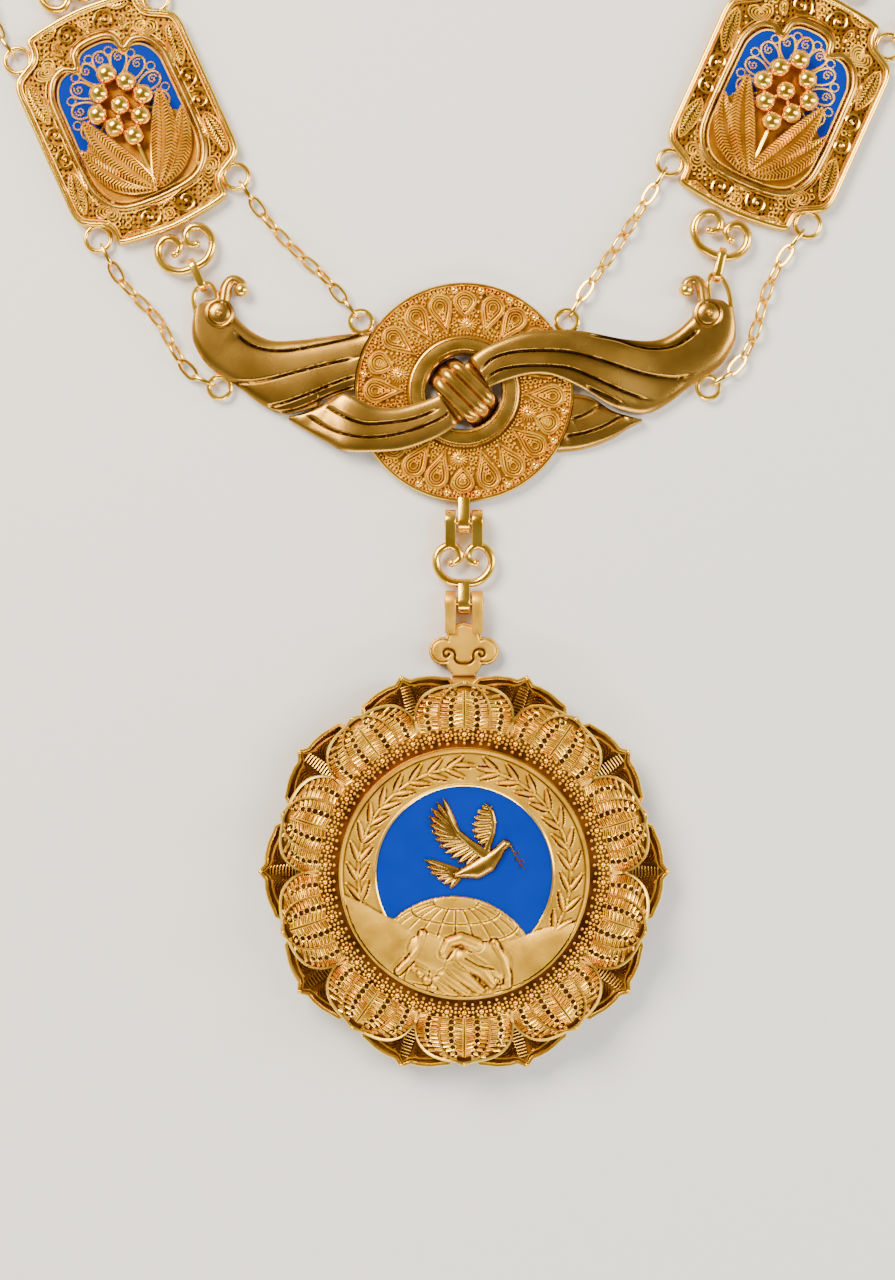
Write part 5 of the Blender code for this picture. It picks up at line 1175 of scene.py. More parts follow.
def wing_fittings(side):
    """Layers for boss, curl, hook with its ball, hang loop and chain rings of one wing."""
    boss = wing_point(BOSS_CENTRE, side, 0)
    dome = turned([(0, 0.6), (3, 0.6), (3, 3), (2.85, 3.3), (2.6, 3.4), (2.35, 3.3), (2.25, 3.05),
                   (2.1, 3.3), (1.9, 3.45), (1, 3.62), (0, 3.68)], 48, boss, MM)
    hook = smooth_route([wing_point(place, side, 2) for place in HOOK_PATH], 6)
    feet = [wing_point(place, side, 2) for place in HANG_LOOP_FEET]
    middle, spread = (feet[0] + feet[1]) / 2, (feet[1] - feet[0]) / 2
    bearing, way = scroll_bearing(side, -1)
    top = bearing + way * jump_grip(1)
    arch = [middle - spread * cos(pi * i / 24) + (top - middle) * sin(pi * i / 24) ** 0.5 for i in range(25)]
    layers = [(dome, SHADED_SATIN), (granules([boss + Vector((side * 0.2, 0.1, 3.55)) * MM], 0.75, 3), SATIN),
              (wires([hook], 1.5, 14, taper=lambda s: 1.75 - 0.45 * ease(1.6 * s)), SATIN),
              (granules([hook[-1]], 1.5, 4), POLISHED), (wires([arch], 1, 10), POLISHED)]
    for centre in (top_ring(side), wing_point(WING_SIDE_RING, side, CHAIN_HEIGHT / MM)):
        layers.append((round_ring(centre, WING_RING / MM, RING_WIRE / MM), POLISHED))
    foot = top_ring(side) - Vector((0, 2.7 * MM, 0))
    post = 4 if side > 0 else 1.6
    layers.append((wires([[foot - Vector((0, 0, 0.5 * MM)), Vector((foot.x, foot.y, post * MM))]], 1.5, 10), POLISHED))
    return layers


def build_wings():
    """The band tied in the knot, and the wings."""
    turned_rows = [((-x1, -y1), (-x0, -y0)) for (x0, y0), (x1, y1) in BAND_SECTIONS[1:] + BAND_TAIL]
    full = list(reversed(turned_rows)) + BAND_SECTIONS + WING_SECTIONS
    middle, steps = len(turned_rows), len(full) - 1
    band = wing_sheet(full, lambda v: band_levels(v * steps - middle), RIGHT_LINES + LEFT_BAND_LINES)
    finished_piece("band_and_right_wing", [(band, SHADED_SATIN)] + wing_fittings(1), "collar", ["right_wing_band"],
                   30)
    left = wing_sheet(LEFT_WING_ROOT + WING_SECTIONS, lambda v: (0, 1.9, 3), LEFT_LINES, -1,
                      KNOT_RADIUS + 0.05, 130, 110)
    finished_piece("left_feathered_wing", [(left, SHADED_SATIN)] + wing_fittings(-1), "collar", ["left_wing"],
                   30)
    lower = wing_sheet(LOWER_WING_SECTIONS, lambda v: (0, 1.3, 2.5), LOWER_LINES, 1, KNOT_RADIUS + 0.05, 100, 60)
    finished_piece("lower_feathers", [(lower, SHADED_SATIN)], "collar", ["right_lower_wing"], 30)


# ---------------- hinged links between knot and badge, in mm

UPPER_HINGE, LOWER_HINGE = 69.7, 53.5
SCROLL_Y = (UPPER_HINGE + LOWER_HINGE) / 2 - 0.4
CLOUD_Y = LOWER_HINGE - 7.7
HINGE_HEIGHT, KNUCKLE_RADIUS, PIN_RADIUS, STRAP_THICKNESS = 2.4, 2.4, 0.7, 2.4
TONGUE_HALF, FORK_HALF, LUG_WIDTH = 1.2, 1.6, 2.2
SCROLL_SIZE, SCROLL_WIRE = 6.5, 1.7
# Right half of a scroll link from its closed end to its ball, as shares of SCROLL_SIZE
SCROLL_PATH = [(-0.10, -0.60), (0.42, -0.54), (0.76, -0.26), (0.865, 0.11), (0.74, 0.43), (0.45, 0.575),
               (0.20, 0.46), (0.115, 0.22), (0.26, 0.05), (0.37, 0.03)]


def side_plate(outline, x_low, x_high, soften=0.25):
    """A plate standing along the jewel: y, z outline in mm, between two x, its edges softened."""
    bm = bmesh.new()
    face = bm.faces.new([bm.verts.new((x_low * MM, y * MM, z * MM)) for y, z in outline])
    drawn_out(bm, [face], ((x_high - x_low) * MM, 0, 0))
    rims = [edge for edge in bm.edges if abs(edge.verts[0].co.x - edge.verts[1].co.x) < 1e-7]
    bmesh.ops.bevel(bm, geom=rims, offset=soften * MM, offset_type="OFFSET", segments=3, profile=0.5,
                    affect="EDGES", material=-1)
    return bm


def knuckle_outline(axis_y, y_end):
    """Side view of a knuckle on its strap: round about the axis, then level to the strap's end."""
    half = STRAP_THICKNESS / 2
    reach = degrees(asin(half / KNUCKLE_RADIUS))
    way = 1 if y_end > axis_y else -1
    points = [(axis_y + way * KNUCKLE_RADIUS * cos(radians(a)), HINGE_HEIGHT + KNUCKLE_RADIUS * sin(radians(a)))
              for a in [80 + (280 - reach) * i / 24 for i in range(25)]]
    return points + [(y_end, HINGE_HEIGHT - half), (y_end, HINGE_HEIGHT + half)]


def tongue(axis_y, y_end):
    """A hinge's tongue, as a layer."""
    return side_plate(knuckle_outline(axis_y, y_end), -TONGUE_HALF, TONGUE_HALF), POLISHED


def fork_layers(axis_y, y_end, material):
    """Two lugs with the pin between them, its ends riveted."""
    layers = []
    for side in (1, -1):
        inner, outer = sorted((side * FORK_HALF, side * (FORK_HALF + LUG_WIDTH)))
        layers.append((side_plate(knuckle_outline(axis_y, y_end), inner, outer), material))
    reach = FORK_HALF + LUG_WIDTH * 0.5
    pin = [Vector((x * MM, axis_y * MM, HINGE_HEIGHT * MM)) for x in (-reach, reach)]
    rivet = [Vector((x * MM, axis_y * MM, HINGE_HEIGHT * MM)) for x in
             (-FORK_HALF - LUG_WIDTH - 0.12, -FORK_HALF - LUG_WIDTH + 0.3)]
    far_rivet = [Vector((-place.x, place.y, place.z)) for place in rivet]
    layers.append((wires([pin], 2 * PIN_RADIUS, 16), POLISHED))
    layers.append((wires([rivet, far_rivet], 1.9, 16), POLISHED))
    return layers


def scroll_layers(frame_of, size=SCROLL_SIZE):
    """A scroll link: two curls that meet, each ending in a ball; frame_of places a point given in mm."""
    layers = []
    balls = []
    for mirror in (1, -1):
        route = smooth_route([frame_of(mirror * x * size, y * size) for x, y in SCROLL_PATH], 5)
        layers.append((wires([route], SCROLL_WIRE, 12, taper=lambda s: 1 - 0.22 * max(0, s - 0.6) / 0.4), POLISHED))
        balls.append(route[-1])
    layers.append((granules(balls, 0.86 * SCROLL_WIRE / 1.7, 2), POLISHED))
    return layers


def build_connector():
    """Scroll ring between its two lugs above and its tongue below."""
    layers = scroll_layers(lambda x, y: Vector((x, SCROLL_Y + y, HINGE_HEIGHT)) * MM)
    layers += fork_layers(UPPER_HINGE, SCROLL_Y + 0.6 * SCROLL_SIZE - 0.4, POLISHED)
    layers.append(tongue(LOWER_HINGE, SCROLL_Y - 0.6 * SCROLL_SIZE))
    finished_piece("scroll_between_hinges", layers, "connector", ["scroll_connector"])


def cloud_head(x, y):
    """How far inside the dome and lobes of the bail's cloud a point lies, in mm."""
    return np.maximum(3.7 - np.hypot(x, y - CLOUD_Y), 2.8 - np.hypot(np.abs(x) - 4.2, y - CLOUD_Y + 2))


def cloud_inside(x, y):
    """How far inside the bail's cloud and neck a point lies, in mm."""
    neck_half = 2.4 + 2.2 * within((y - 39.2) / 4.6) ** 0.7
    neck = np.minimum(neck_half - np.abs(x), np.minimum(y - 38.6, CLOUD_Y - y))
    return np.maximum(cloud_head(x, y), neck)


CLOUD_CURL = [(0, -4.5), (1.1, -4.4), (1.8, -3.8), (1.8, -3), (2.1, -2.1), (3, -1.6), (3.9, -1.9),
              (4.1, -2.7), (3.5, -3.15), (3, -2.7)]


def cloud_height(x, y):
    """The bail's face: pillowed, with a pair of engraved curls."""
    edge = np.clip(cloud_inside(x, y), 0, 0.55) / 0.55
    lines = np.zeros_like(x)
    for side in (1, -1):
        curl = smooth_route([(side * cx, CLOUD_Y + cy, 0) for cx, cy in CLOUD_CURL], 3)
        lines = np.maximum(lines, groove(x, y, [(point.x, point.y) for point in curl], 0.3))
    border = within(1 - np.abs(cloud_head(x, y) - 0.5) / 0.26) * ((y > CLOUD_Y - 2.6) | (np.abs(x) > 3.2))
    return (2.35 + 0.5 * np.sqrt(1 - (1 - edge) ** 2) - 0.42 * np.maximum(lines, 0.6 * border)) * MM


def build_bail():
    """Cloud-shaped bail with its lugs above and its neck under the petals."""
    cloud = relief_plate((-7.6, 38.4), (7.6, 50), 0.16, cloud_inside, cloud_height, GAP)
    neck = [(-2.4, 39.4), (-2.4, 30.3), (2.4, 30.3), (2.4, 39.4)]
    bm = bmesh.new()
    face = bm.faces.new([bm.verts.new((x * MM, y * MM, 0.1 * MM)) for x, y in neck])
    layers = [(cloud, SANDBLASTED), (drawn_out(bm, [face], (0, 0, 1.5 * MM)), SANDBLASTED)]
    layers += fork_layers(LOWER_HINGE, CLOUD_Y + 1.5, SANDBLASTED)
    finished_piece("cloud_bail_with_lugs", layers, "badge", ["cloud_bail"], 55)


# ---------------- plaques' places

PLAQUE_TILT = radians(24.3)
PLAQUE_HALF_WIDTH, PLAQUE_HALF_HEIGHT = 18.15, 24
PLAQUE_OUT_UP = {-1: (16.1, 38.1), 1: (11.7, 40.9)}
PLAQUE_RING = (PLAQUE_HALF_WIDTH - 2.95, PLAQUE_HALF_HEIGHT - 4.4)
SCROLL_OFFSET = PLAQUE_HALF_HEIGHT + 0.3 + 0.60 * SCROLL_SIZE + SCROLL_WIRE / 2
SCROLL_BOW, BEARING_SHIFT = 0.68, 0.31
JUMP_LENGTH, JUMP_HEIGHT, JUMP_THICKNESS, JUMP_WIDTH = 7.2, 3.9, 0.8, 1.6
GATHER_RADIUS, GATHER_WIRE = 3, 1.4


def plaque_axes(side):
    """Centre of a plaque, and the directions of its top and of its right-hand side."""
    feet = [wing_point(place, side, 0) for place in HANG_LOOP_FEET]
    out, up = PLAQUE_OUT_UP[side]
    centre = (feet[0] + feet[1]) / 2 + Vector((side * out, up, 0)) * MM
    top = Vector((side * sin(PLAQUE_TILT), cos(PLAQUE_TILT), 0))
    return centre, top, Vector((top.y, -top.x, 0))


def on_plaque(side, x, y, height):
    """A point given in mm on a plaque, as a place in the jewel."""
    centre, up, across = plaque_axes(side)
    return centre + (across * x + up * y + Vector((0, 0, height))) * MM


def scroll_bearing(side, end):
    """Where a jump link bears on one of a plaque's scroll links, and the way it leads from there."""
    centre, up, across = plaque_axes(side)
    shift = BEARING_SHIFT if side > 0 > end else 0
    reach = SCROLL_OFFSET + (0.60 - 0.5 * SCROLL_BOW * shift * shift) * SCROLL_SIZE
    point = on_plaque(side, shift * SCROLL_SIZE, end * reach, 2)
    return point, (up * end + across * SCROLL_BOW * shift).normalized()


def jump_grip(wire):
    """From the scroll's wire to the other wire that a jump link holds, middle to middle, in metres."""
    return (JUMP_LENGTH - 2 * JUMP_THICKNESS - 0.6 - (SCROLL_WIRE + wire) / 2) * MM


def strand_hub(side):
    """Centre of the ring that gathers a side's strands."""
    point, way = scroll_bearing(side, 1)
    return point + way * (jump_grip(GATHER_WIRE) + GATHER_RADIUS * MM)


def build_jump_links():
    """Scroll links soldered to the plaques' ends, jump links in them and the rings that gather the strands."""
    for side, name in SIDES:
        for end, label in ((-1, "lower"), (1, "upper")):
            def place(x, y, end=end):
                return on_plaque(side, x * -end, (SCROLL_OFFSET - y) * end, 2)
            finished_piece(f"{name}_{label}_scroll_link", scroll_layers(place), "collar",
                           [f"{name}_{label}_scroll"])
            point, way = scroll_bearing(side, end)
            centre = point + way * (JUMP_LENGTH / 2 - SCROLL_WIRE / 2 - 0.3 - JUMP_THICKNESS) * MM
            node_name = f"{name}_jump_link" if end < 0 else f"{name}_upper_jump_link"
            finished_piece(f"{name}_{label}_oval_link", [(jump_link(centre, way), POLISHED)], "collar", [node_name])
        hub = strand_hub(side)
        finished_piece(f"{name}_strand_ring", [(round_ring(hub, GATHER_RADIUS, GATHER_WIRE, 48), POLISHED)],
                       "collar", [f"{name}_gather_ring"])


def jump_link(centre, way):
    """An upright oval link of flat band."""
    mean = (JUMP_HEIGHT - JUMP_THICKNESS) / 2
    profile = [((mean + JUMP_THICKNESS / 2 * copysign(abs(cos(a)) ** 0.6, cos(a))) * MM,
                JUMP_WIDTH / 2 * copysign(abs(sin(a)) ** 0.6, sin(a)) * MM)
               for a in (TURN * i / 16 for i in range(16))]
    return pulled_link(turned(profile, 40), centre, way, (JUMP_LENGTH - JUMP_HEIGHT) / 2 * MM, pi / 2)


def pulled_link(bm, centre, way, pull, roll, bow=0):
    """A spun ring pulled long and turned by roll about its own length; bow above 0 curves its long sides."""
    for vert in bm.verts:
        share = abs(vert.co.x) / max(hypot(vert.co.x, vert.co.y), 1e-9)
        vert.co.x += copysign(pull * share ** bow, vert.co.x)
    along = way.normalized()
    side = Vector((0, 0, 1)).cross(along).normalized()
    frame_of = Matrix((along, side, along.cross(side))).transposed().to_4x4()
    bmesh.ops.transform(bm, verts=bm.verts[:],
                        matrix=Matrix.Translation(centre) @ frame_of @ Matrix.Rotation(roll, 4, "X"))
    return bm


# ---------------- chains

LINK_LENGTH, LINK_WIDTH, LINK_WIRE, LINK_BITE = 5.3 * MM, 2.9 * MM, 0.75 * MM, 0.1 * MM
CHAIN_RING, WING_RING, RING_WIRE = 2.5 * MM, 2.2 * MM, 1 * MM
CLASP_LENGTH, CLASP_RADIUS, CLASP_EYE = 14, 2.3, 6.2
# Chosen points of each festoon between its two rings, in mm, as in the CAD part
FESTOON_ROUTES = {
    "left_outer_festoon": [(-68.6, 117.8), (-61.6, 110.6), (-58.3, 104.5), (-54.6, 99.2)],
    "left_inner_festoon": [(-40.2, 131.2), (-34, 124.2), (-27.6, 118.4)],
    "right_inner_festoon": [(35.6, 132.6), (28.8, 122.2), (24.4, 116.2)],
    "right_outer_festoon": [(64, 122.6), (60.6, 115.6), (58.4, 107.6), (54.8, 100.8)], }
NECK_HALF_WIDTH, NECK_TOP = 106.5, 420
NECK_ROUTE = [(0.885, 0.09), (0.955, 0.21), (0.995, 0.36), (0.995, 0.52), (0.94, 0.68), (0.80, 0.82),
              (0.58, 0.925), (0.32, 0.985)]
STRAND_WAYS = [(1.208, 0.915), (1.521, 0.683)]


def chain(name, points, start_inset, stop_inset):
    """Interlocked oval links along a route, in place of the strand of that name."""
    route = smooth_route(points)
    reach = route_length(route) - start_inset - stop_inset
    overlap = 2 * LINK_WIRE - LINK_BITE
    count = round((reach - overlap) / (LINK_LENGTH - overlap))
    length = (reach - overlap) / count + overlap
    joints = spaced(route, count + 1, start_inset + overlap / 2, stop_inset + overlap / 2)
    twist = 0 if count % 2 else pi / 2
    whole = bmesh.new()
    link = turned(circle((LINK_WIDTH - LINK_WIRE) / 2, 0, LINK_WIRE / 2, 6), 16)
    for i, (a, b) in enumerate(zip(joints, joints[1:])):
        share = i / (count - 1)
        lean = twist * share if twist else pi / 4 * sin(pi * share)
        body = pulled_link(link.copy(), (a + b) / 2, b - a, (length - LINK_WIDTH) / 2, pi / 2 * (i + 1) + lean, 0.6)
        mesh = mesh_data(body, "link")
        whole.from_mesh(mesh)
        bpy.data.meshes.remove(mesh)
    link.free()
    finished_piece(f"{name}_links", [(whole, POLISHED)], "collar", [name], 60)


def corner_ring(side, ring_side, end):
    """Centre of a plaque's corner ring, at the chains' height."""
    return on_plaque(side, ring_side * PLAQUE_RING[0], end * PLAQUE_RING[1], CHAIN_HEIGHT / MM)


def build_chains():
    """Festoons, side strands and neck chains."""
    hooked = {radius: radius - RING_WIRE / 2 - GAP - LINK_WIRE for radius in (CHAIN_RING, WING_RING)}
    for name, middle in FESTOON_ROUTES.items():
        side = 1 if name.startswith("right") else -1
        out = "outer" in name
        start = corner_ring(side, side if out else -side, -1)
        stop = wing_point(WING_SIDE_RING, side, CHAIN_HEIGHT / MM) if out else top_ring(side)
        points = [start] + [Vector((x * MM, y * MM, CHAIN_HEIGHT)) for x, y in middle] + [stop]
        chain(name, points, hooked[CHAIN_RING], hooked[WING_RING])
    gathered = (GATHER_RADIUS - GATHER_WIRE / 2) * MM - GAP - LINK_WIRE
    for side, name in SIDES:
        hub = strand_hub(side)
        hub.z = CHAIN_HEIGHT
        for label, out in (("outer_side_chain", 1), ("inner_side_chain", -1)):
            ways = [on_plaque(side, side * out * spread * PLAQUE_HALF_WIDTH, rise * PLAQUE_HALF_HEIGHT,
                              CHAIN_HEIGHT / MM) for rise, spread in STRAND_WAYS]
            chain(f"{name}_{label}", [corner_ring(side, side * out, 1), *ways, hub], hooked[CHAIN_RING], gathered)
        rise = NECK_TOP * MM - hub.y
        way = [Vector((side * x * NECK_HALF_WIDTH * MM, hub.y + y * rise, CHAIN_HEIGHT)) for x, y in NECK_ROUTE]
        chain(f"{name}_neck_chain", [hub, *way, Vector((0, NECK_TOP * MM, CHAIN_HEIGHT))], gathered, CLASP_EYE * MM)


# ---------------- plaques, in mm from a plaque's own centre

PLAQUE_QUARTER = [(1, 0.16), (1, 0.36), (1, 0.46), (1, 0.52), (0.985, 0.60), (0.935, 0.665), (0.83, 0.715),
                  (0.71, 0.765), (0.67, 0.83), (0.665, 0.915), (0.58, 0.955), (0.30, 0.985)]
PANEL_HALF_WIDTH, PANEL_HALF_HEIGHT = 11.8, 16.4
PANEL_SIDE = [(0.32, -1), (0.70, -0.93), (0.92, -0.74), (1, -0.45), (1, 0.35), (0.97, 0.58),
              (0.82, 0.76), (0.60, 0.82), (0.42, 0.76), (0.36, 0.92), (0.18, 1)]
GROUND, ENAMEL_FACE = 1.6, 1.8
BERRY_PITCH, BERRY_RADIUS, BUNCH_Y, SPRAY_LOW = 3.6, 1.9, 2.3, 2.1
BERRY_STEPS = [(0, 1.9), (0.82, 1.06), (-0.82, 1.06), (1.37, 0.04), (0, 0), (-1.37, 0.04),
               (0.78, -0.98), (-0.78, -0.98), (0, -1.84)]
LEAF_ROOT = (0, -15.6)
BEAD_PITCH = 0.42
# Bends of the leaves' wire, drawn a little coarser than the photo's half a millimetre
LADDER_PITCH = 0.66
# Leaves: tip, width, how far the leaf bows outwards, and lift above the leaves below
LEAVES = [((-11.1, -2.7), 4.7, 1.7, 0), ((11.1, -2.7), 4.7, 1.7, 0),
          ((-8.2, 2.3), 5.2, 1.2, 0.5), ((8.2, 2.3), 5.2, 1.2, 0.5)]
# Gold ground behind leaves and berries
GROUND_TOP = [(-11.3, -3.6), (-7.6, -1), (-4.4, -1.6), (-5.9, 2.2), (-3.2, 6.3), (0, 9.6), (3.2, 6.3),
              (5.9, 2.2), (4.4, -1.6), (7.6, -1), (11.3, -3.6)]
# Filigree of the frame, right half: hearts as centre and heading of the point, leaves as two ends and a width,
# curls as centre, radius, first angle and turns
FRAME_HEARTS = [((10.7, 14.8), -119), ((10.8, -15.6), 136)]
FRAME_LEAVES = [((15.4, 14.2), (14.5, 5.1), 3), ((14.5, -5.4), (15.5, -14.3), 3),
                ((9.9, 21.3), (5.4, 22.6), 1.8), ((9.9, -21.3), (5.2, -22.7), 1.8),
                ((7.3, 19.5), (6.5, 16.6), 1.6), ((13.4, 10.6), (12.9, 5.4), 1.2), ((13.4, -10.4), (12.9, -5.2), 1.2)]
FRAME_CURLS = [((14.5, 2.7), 2.2, -90, 1.2), ((14.6, -2.7), 2.2, 90, -1.2),
               ((4.1, 19.8), 2.5, 200, -1.2), ((4.1, -20), 2.5, 160, 1.2)]


def plaque_outline():
    """The plaque's outline from one quarter of it."""
    upper = [(x * PLAQUE_HALF_WIDTH, y * PLAQUE_HALF_HEIGHT) for x, y in PLAQUE_QUARTER + [(0, 1)]]
    upper += [(-x, y) for x, y in reversed(upper[:-1])]
    return upper + [(-x, -y) for x, y in upper]


def panel_outline(grow):
    """The scalloped window's outline, grown outwards."""
    right = [(x * (PANEL_HALF_WIDTH + grow), y * (PANEL_HALF_HEIGHT + grow)) for x, y in PANEL_SIDE]
    return right + [(-x, y) for x, y in reversed(right)]


def rounded_loop(outline, samples=3):
    """An outline's points read from a smooth closed curve through them."""
    return [(point.x, point.y) for point in smooth_route([(x, y, 0) for x, y in outline], samples, True)]


def flat_plate(side, outline, low, high, hole=None):
    """A plate of a plaque between two heights, with an outline and perhaps a hole."""
    bm = bmesh.new()
    loops = [outline] + ([hole] if hole else [])
    edges = []
    for loop in loops:
        corners = [bm.verts.new(on_plaque(side, x, y, low)) for x, y in loop]
        edges += [bm.edges.new(pair) for pair in zip(corners, corners[1:] + corners[:1])]
    bmesh.ops.triangle_fill(bm, use_beauty=True, edges=edges)
    return drawn_out(bm, bm.faces[:], (0, 0, (high - low) * MM))


def inset(outline, distance):
    """An outline drawn in evenly."""
    moved = []
    count = len(outline)
    for i, (x, y) in enumerate(outline):
        ax, ay = outline[i - 1]
        bx, by = outline[(i + 1) % count]
        size = hypot(bx - ax, by - ay)
        moved.append((x - (by - ay) / size * distance, y + (bx - ax) / size * distance))
    return moved


def heart(centre, heading, scale):
    """A heart's outline, its point towards heading, in degrees."""
    turn = radians(heading + 90)
    points = []
    for t in (TURN * i / 26 for i in range(26)):
        x = 0.156 * 16 * sin(t) ** 3 * scale
        y = 0.150 * (13 * cos(t) - 5 * cos(2 * t) - 2 * cos(3 * t) - cos(4 * t) + 1.5) * scale
        points.append((centre[0] + x * cos(turn) - y * sin(turn), centre[1] + x * sin(turn) + y * cos(turn)))
    return points


def leaf_half(width, share):
    """Half width of a pointed leaf, a share of the way along it."""
    swell = sin(pi * min(1, 0.04 + 0.96 * share)) ** 0.75
    return width / 2 * swell


def leaf_places(a, b, width, bow):
    """A leaf's length, and its places by share of the way from a to b and offset across, as x, y, lift."""
    ahead, up = b[0] - a[0], b[1] - a[1]
    length = hypot(ahead, up)

    def place(share, offset):
        reach = offset + 4 * bow * share * (1 - share)
        return (a[0] + ahead * share - up / length * reach, a[1] + up * share + ahead / length * reach,
                1 - (abs(offset) / width * 2) ** 2)

    return length, place


def filigree_leaf(a, b, width, bow=0):
    """Wires of a leaf from a to b: (rim, bars of its two columns), as x, y, lift."""
    length, place = leaf_places(a, b, width, bow)
    steps = max(8, round(length / 0.8))
    rim = [place(i / steps, leaf_half(width, i / steps)) for i in range(steps + 1)]
    rim += [place(i / steps, -leaf_half(width, i / steps)) for i in range(steps - 1, 0, -1)]
    bars = []
    count = round(length / LADDER_PITCH)
    for i in range(1, count):
        share = i / count
        half = leaf_half(width, share)
        ahead = min(0.995, share + 0.55 / length)
        for way in (1, -1):
            bars.append([place(share, way * half * 0.98), place(ahead, way * half * 0.58),
                         place(share, way * half * 0.2)])
    return rim, bars


def spiral(centre, radius, first, turns):
    """A curl from its outer end in to its eye."""
    points = []
    for share in (i / 30 for i in range(31)):
        reach = radius * (1 - 0.74 * share ** 0.8)
        angle = radians(first + 360 * turns * share)
        points.append((centre[0] + reach * cos(angle), centre[1] + reach * sin(angle)))
    return points


def both(point):
    """A point of the right half and its mirror."""
    return [point, (-point[0], *point[1:])]


def mirrored(stroke):
    """A stroke of the right half and its mirror."""
    return [stroke, [(-point[0], *point[1:]) for point in stroke]]


def filler_places():
    """Even places on the frame that hearts, leaves, curls and rims leave free."""
    columns, rows = np.meshgrid(np.arange(-17, 17.1, 1.2), np.arange(-23, 23.1, 1.1))
    columns[::2] += 0.6
    x, y = columns.ravel(), rows.ravel()
    free = (depth_in_outline(x, y, plaque_outline()) > 1.7) & (depth_in_outline(x, y, panel_outline(0)) < -1.6)
    for centre, heading in FRAME_HEARTS:
        for cx, cy in both(centre):
            free &= np.hypot(x - cx, y - cy) > 2.5
    for a, b, width in FRAME_LEAVES:
        for first, second in zip(both(a), both(b)):
            free &= limb(x, y, [first, second], [width * 0.62] * 2) <= 0
    for centre, radius, start, turns in FRAME_CURLS:
        for cx, cy in both(centre):
            free &= np.hypot(x - cx, y - cy) > radius + 0.2
    return list(zip(x[free], y[free]))


def build_plaque_frame(side, name):
    """Plaque frame: pierced ground, rims, hearts, leaves, curls and grains, and its four corner rings."""
    outline = rounded_loop(plaque_outline())
    layers = [(flat_plate(side, inset(outline, 0.15), 0, 1), SHEET),
              (flat_plate(side, inset(outline, 0.3), 1, GROUND, rounded_loop(panel_outline(0.1))), LACE)]
    for points, height, thickness, sides, material in (
            (inset(outline, 0.55), 2.05, 1.1, 10, POLISHED), (inset(outline, 0.5), 0.6, 1, 10, POLISHED),
            (inset(outline, 1.35), 2.05, 0.4, 6, WIRE), (rounded_loop(panel_outline(0.62)), 1.9, 1.5, 12, SATIN),
            (rounded_loop(panel_outline(1.6), 6), 2, 0.34, 6, WIRE)):
        stroke = [(x, y, height) for x, y in points]
        layers.append((wires(in_jewel(side, [stroke]), thickness, sides, closed=True), material))
    loops, rounds, bars, curls, grains, eyes = [], [], [], [], [], []
    for centre, heading in FRAME_HEARTS:
        for scale in (1, 0.74, 0.48, 0.22):
            loops += mirrored([(x, y, GROUND + 0.95 - 0.35 * scale) for x, y in heart(centre, heading, scale)])
    for a, b, width in FRAME_LEAVES:
        rim, ladder = filigree_leaf(a, b, width, 0.25)
        loops += mirrored([(x, y, GROUND + 0.45 + 0.3 * lift) for x, y, lift in rim])
        for bar in ladder:
            bars += mirrored([(x, y, GROUND + 0.45 + 0.3 * lift) for x, y, lift in bar])
    for centre, radius, first, turns in FRAME_CURLS:
        curl = spiral(centre, radius, first, turns)
        curls += mirrored([(x, y, GROUND + 0.75) for x, y in curl])
        eyes += both((centre[0], centre[1], GROUND + 0.7))
    for way in (1, -1):
        curls.append([(x, y * way, GROUND + 0.75) for x, y in
                      ((-4.3, 17.5), (-1.8, 18.3), (0, 18.6), (1.8, 18.3), (4.3, 17.5))])
        rounds += [(0, 20.8 * way, 1.15), (0, 20.8 * way, 0.6)]
        eyes.append((0, 18.7 * way, GROUND + 1.1))
        grains += [(i * 0.62, (22.75 - 0.0028 * (i * 0.62) ** 2) * way, GROUND + 0.6) for i in range(-13, 14)]
    fillers = filler_places()
    rounds += [(x, y, 0.5) for x, y in fillers[::2]]
    grains += [(x, y, GROUND + 0.3) for x, y in fillers[1::2]]
    for x, y, radius in rounds:
        loops.append([(*place, GROUND + 0.35) for place in circle(x, y, radius, 9)])
    layers += [(wires(in_jewel(side, loops), 0.36, 5, closed=True), WIRE),
               (wires(in_jewel(side, bars), 0.32, 4), WIRE), (wires(in_jewel(side, curls), 0.5, 8), POLISHED),
               (granules(spots_on(side, grains), 0.3), WIRE), (granules(spots_on(side, eyes), 0.42, 2), POLISHED)]
    layers += [(round_ring(corner_ring(side, across, end), CHAIN_RING / MM, RING_WIRE / MM), POLISHED)
               for across in (1, -1) for end in (1, -1)]
    finished_piece(f"{name}_filigree_frame", layers, "collar", [f"{name}_plaque_frame"])


def spots_on(side, points):
    """Points of a plaque as places in the jewel."""
    return [on_plaque(side, *point) for point in points]


def in_jewel(side, strokes):
    """Strokes of a plaque as places in the jewel."""
    return [spots_on(side, stroke) for stroke in strokes]


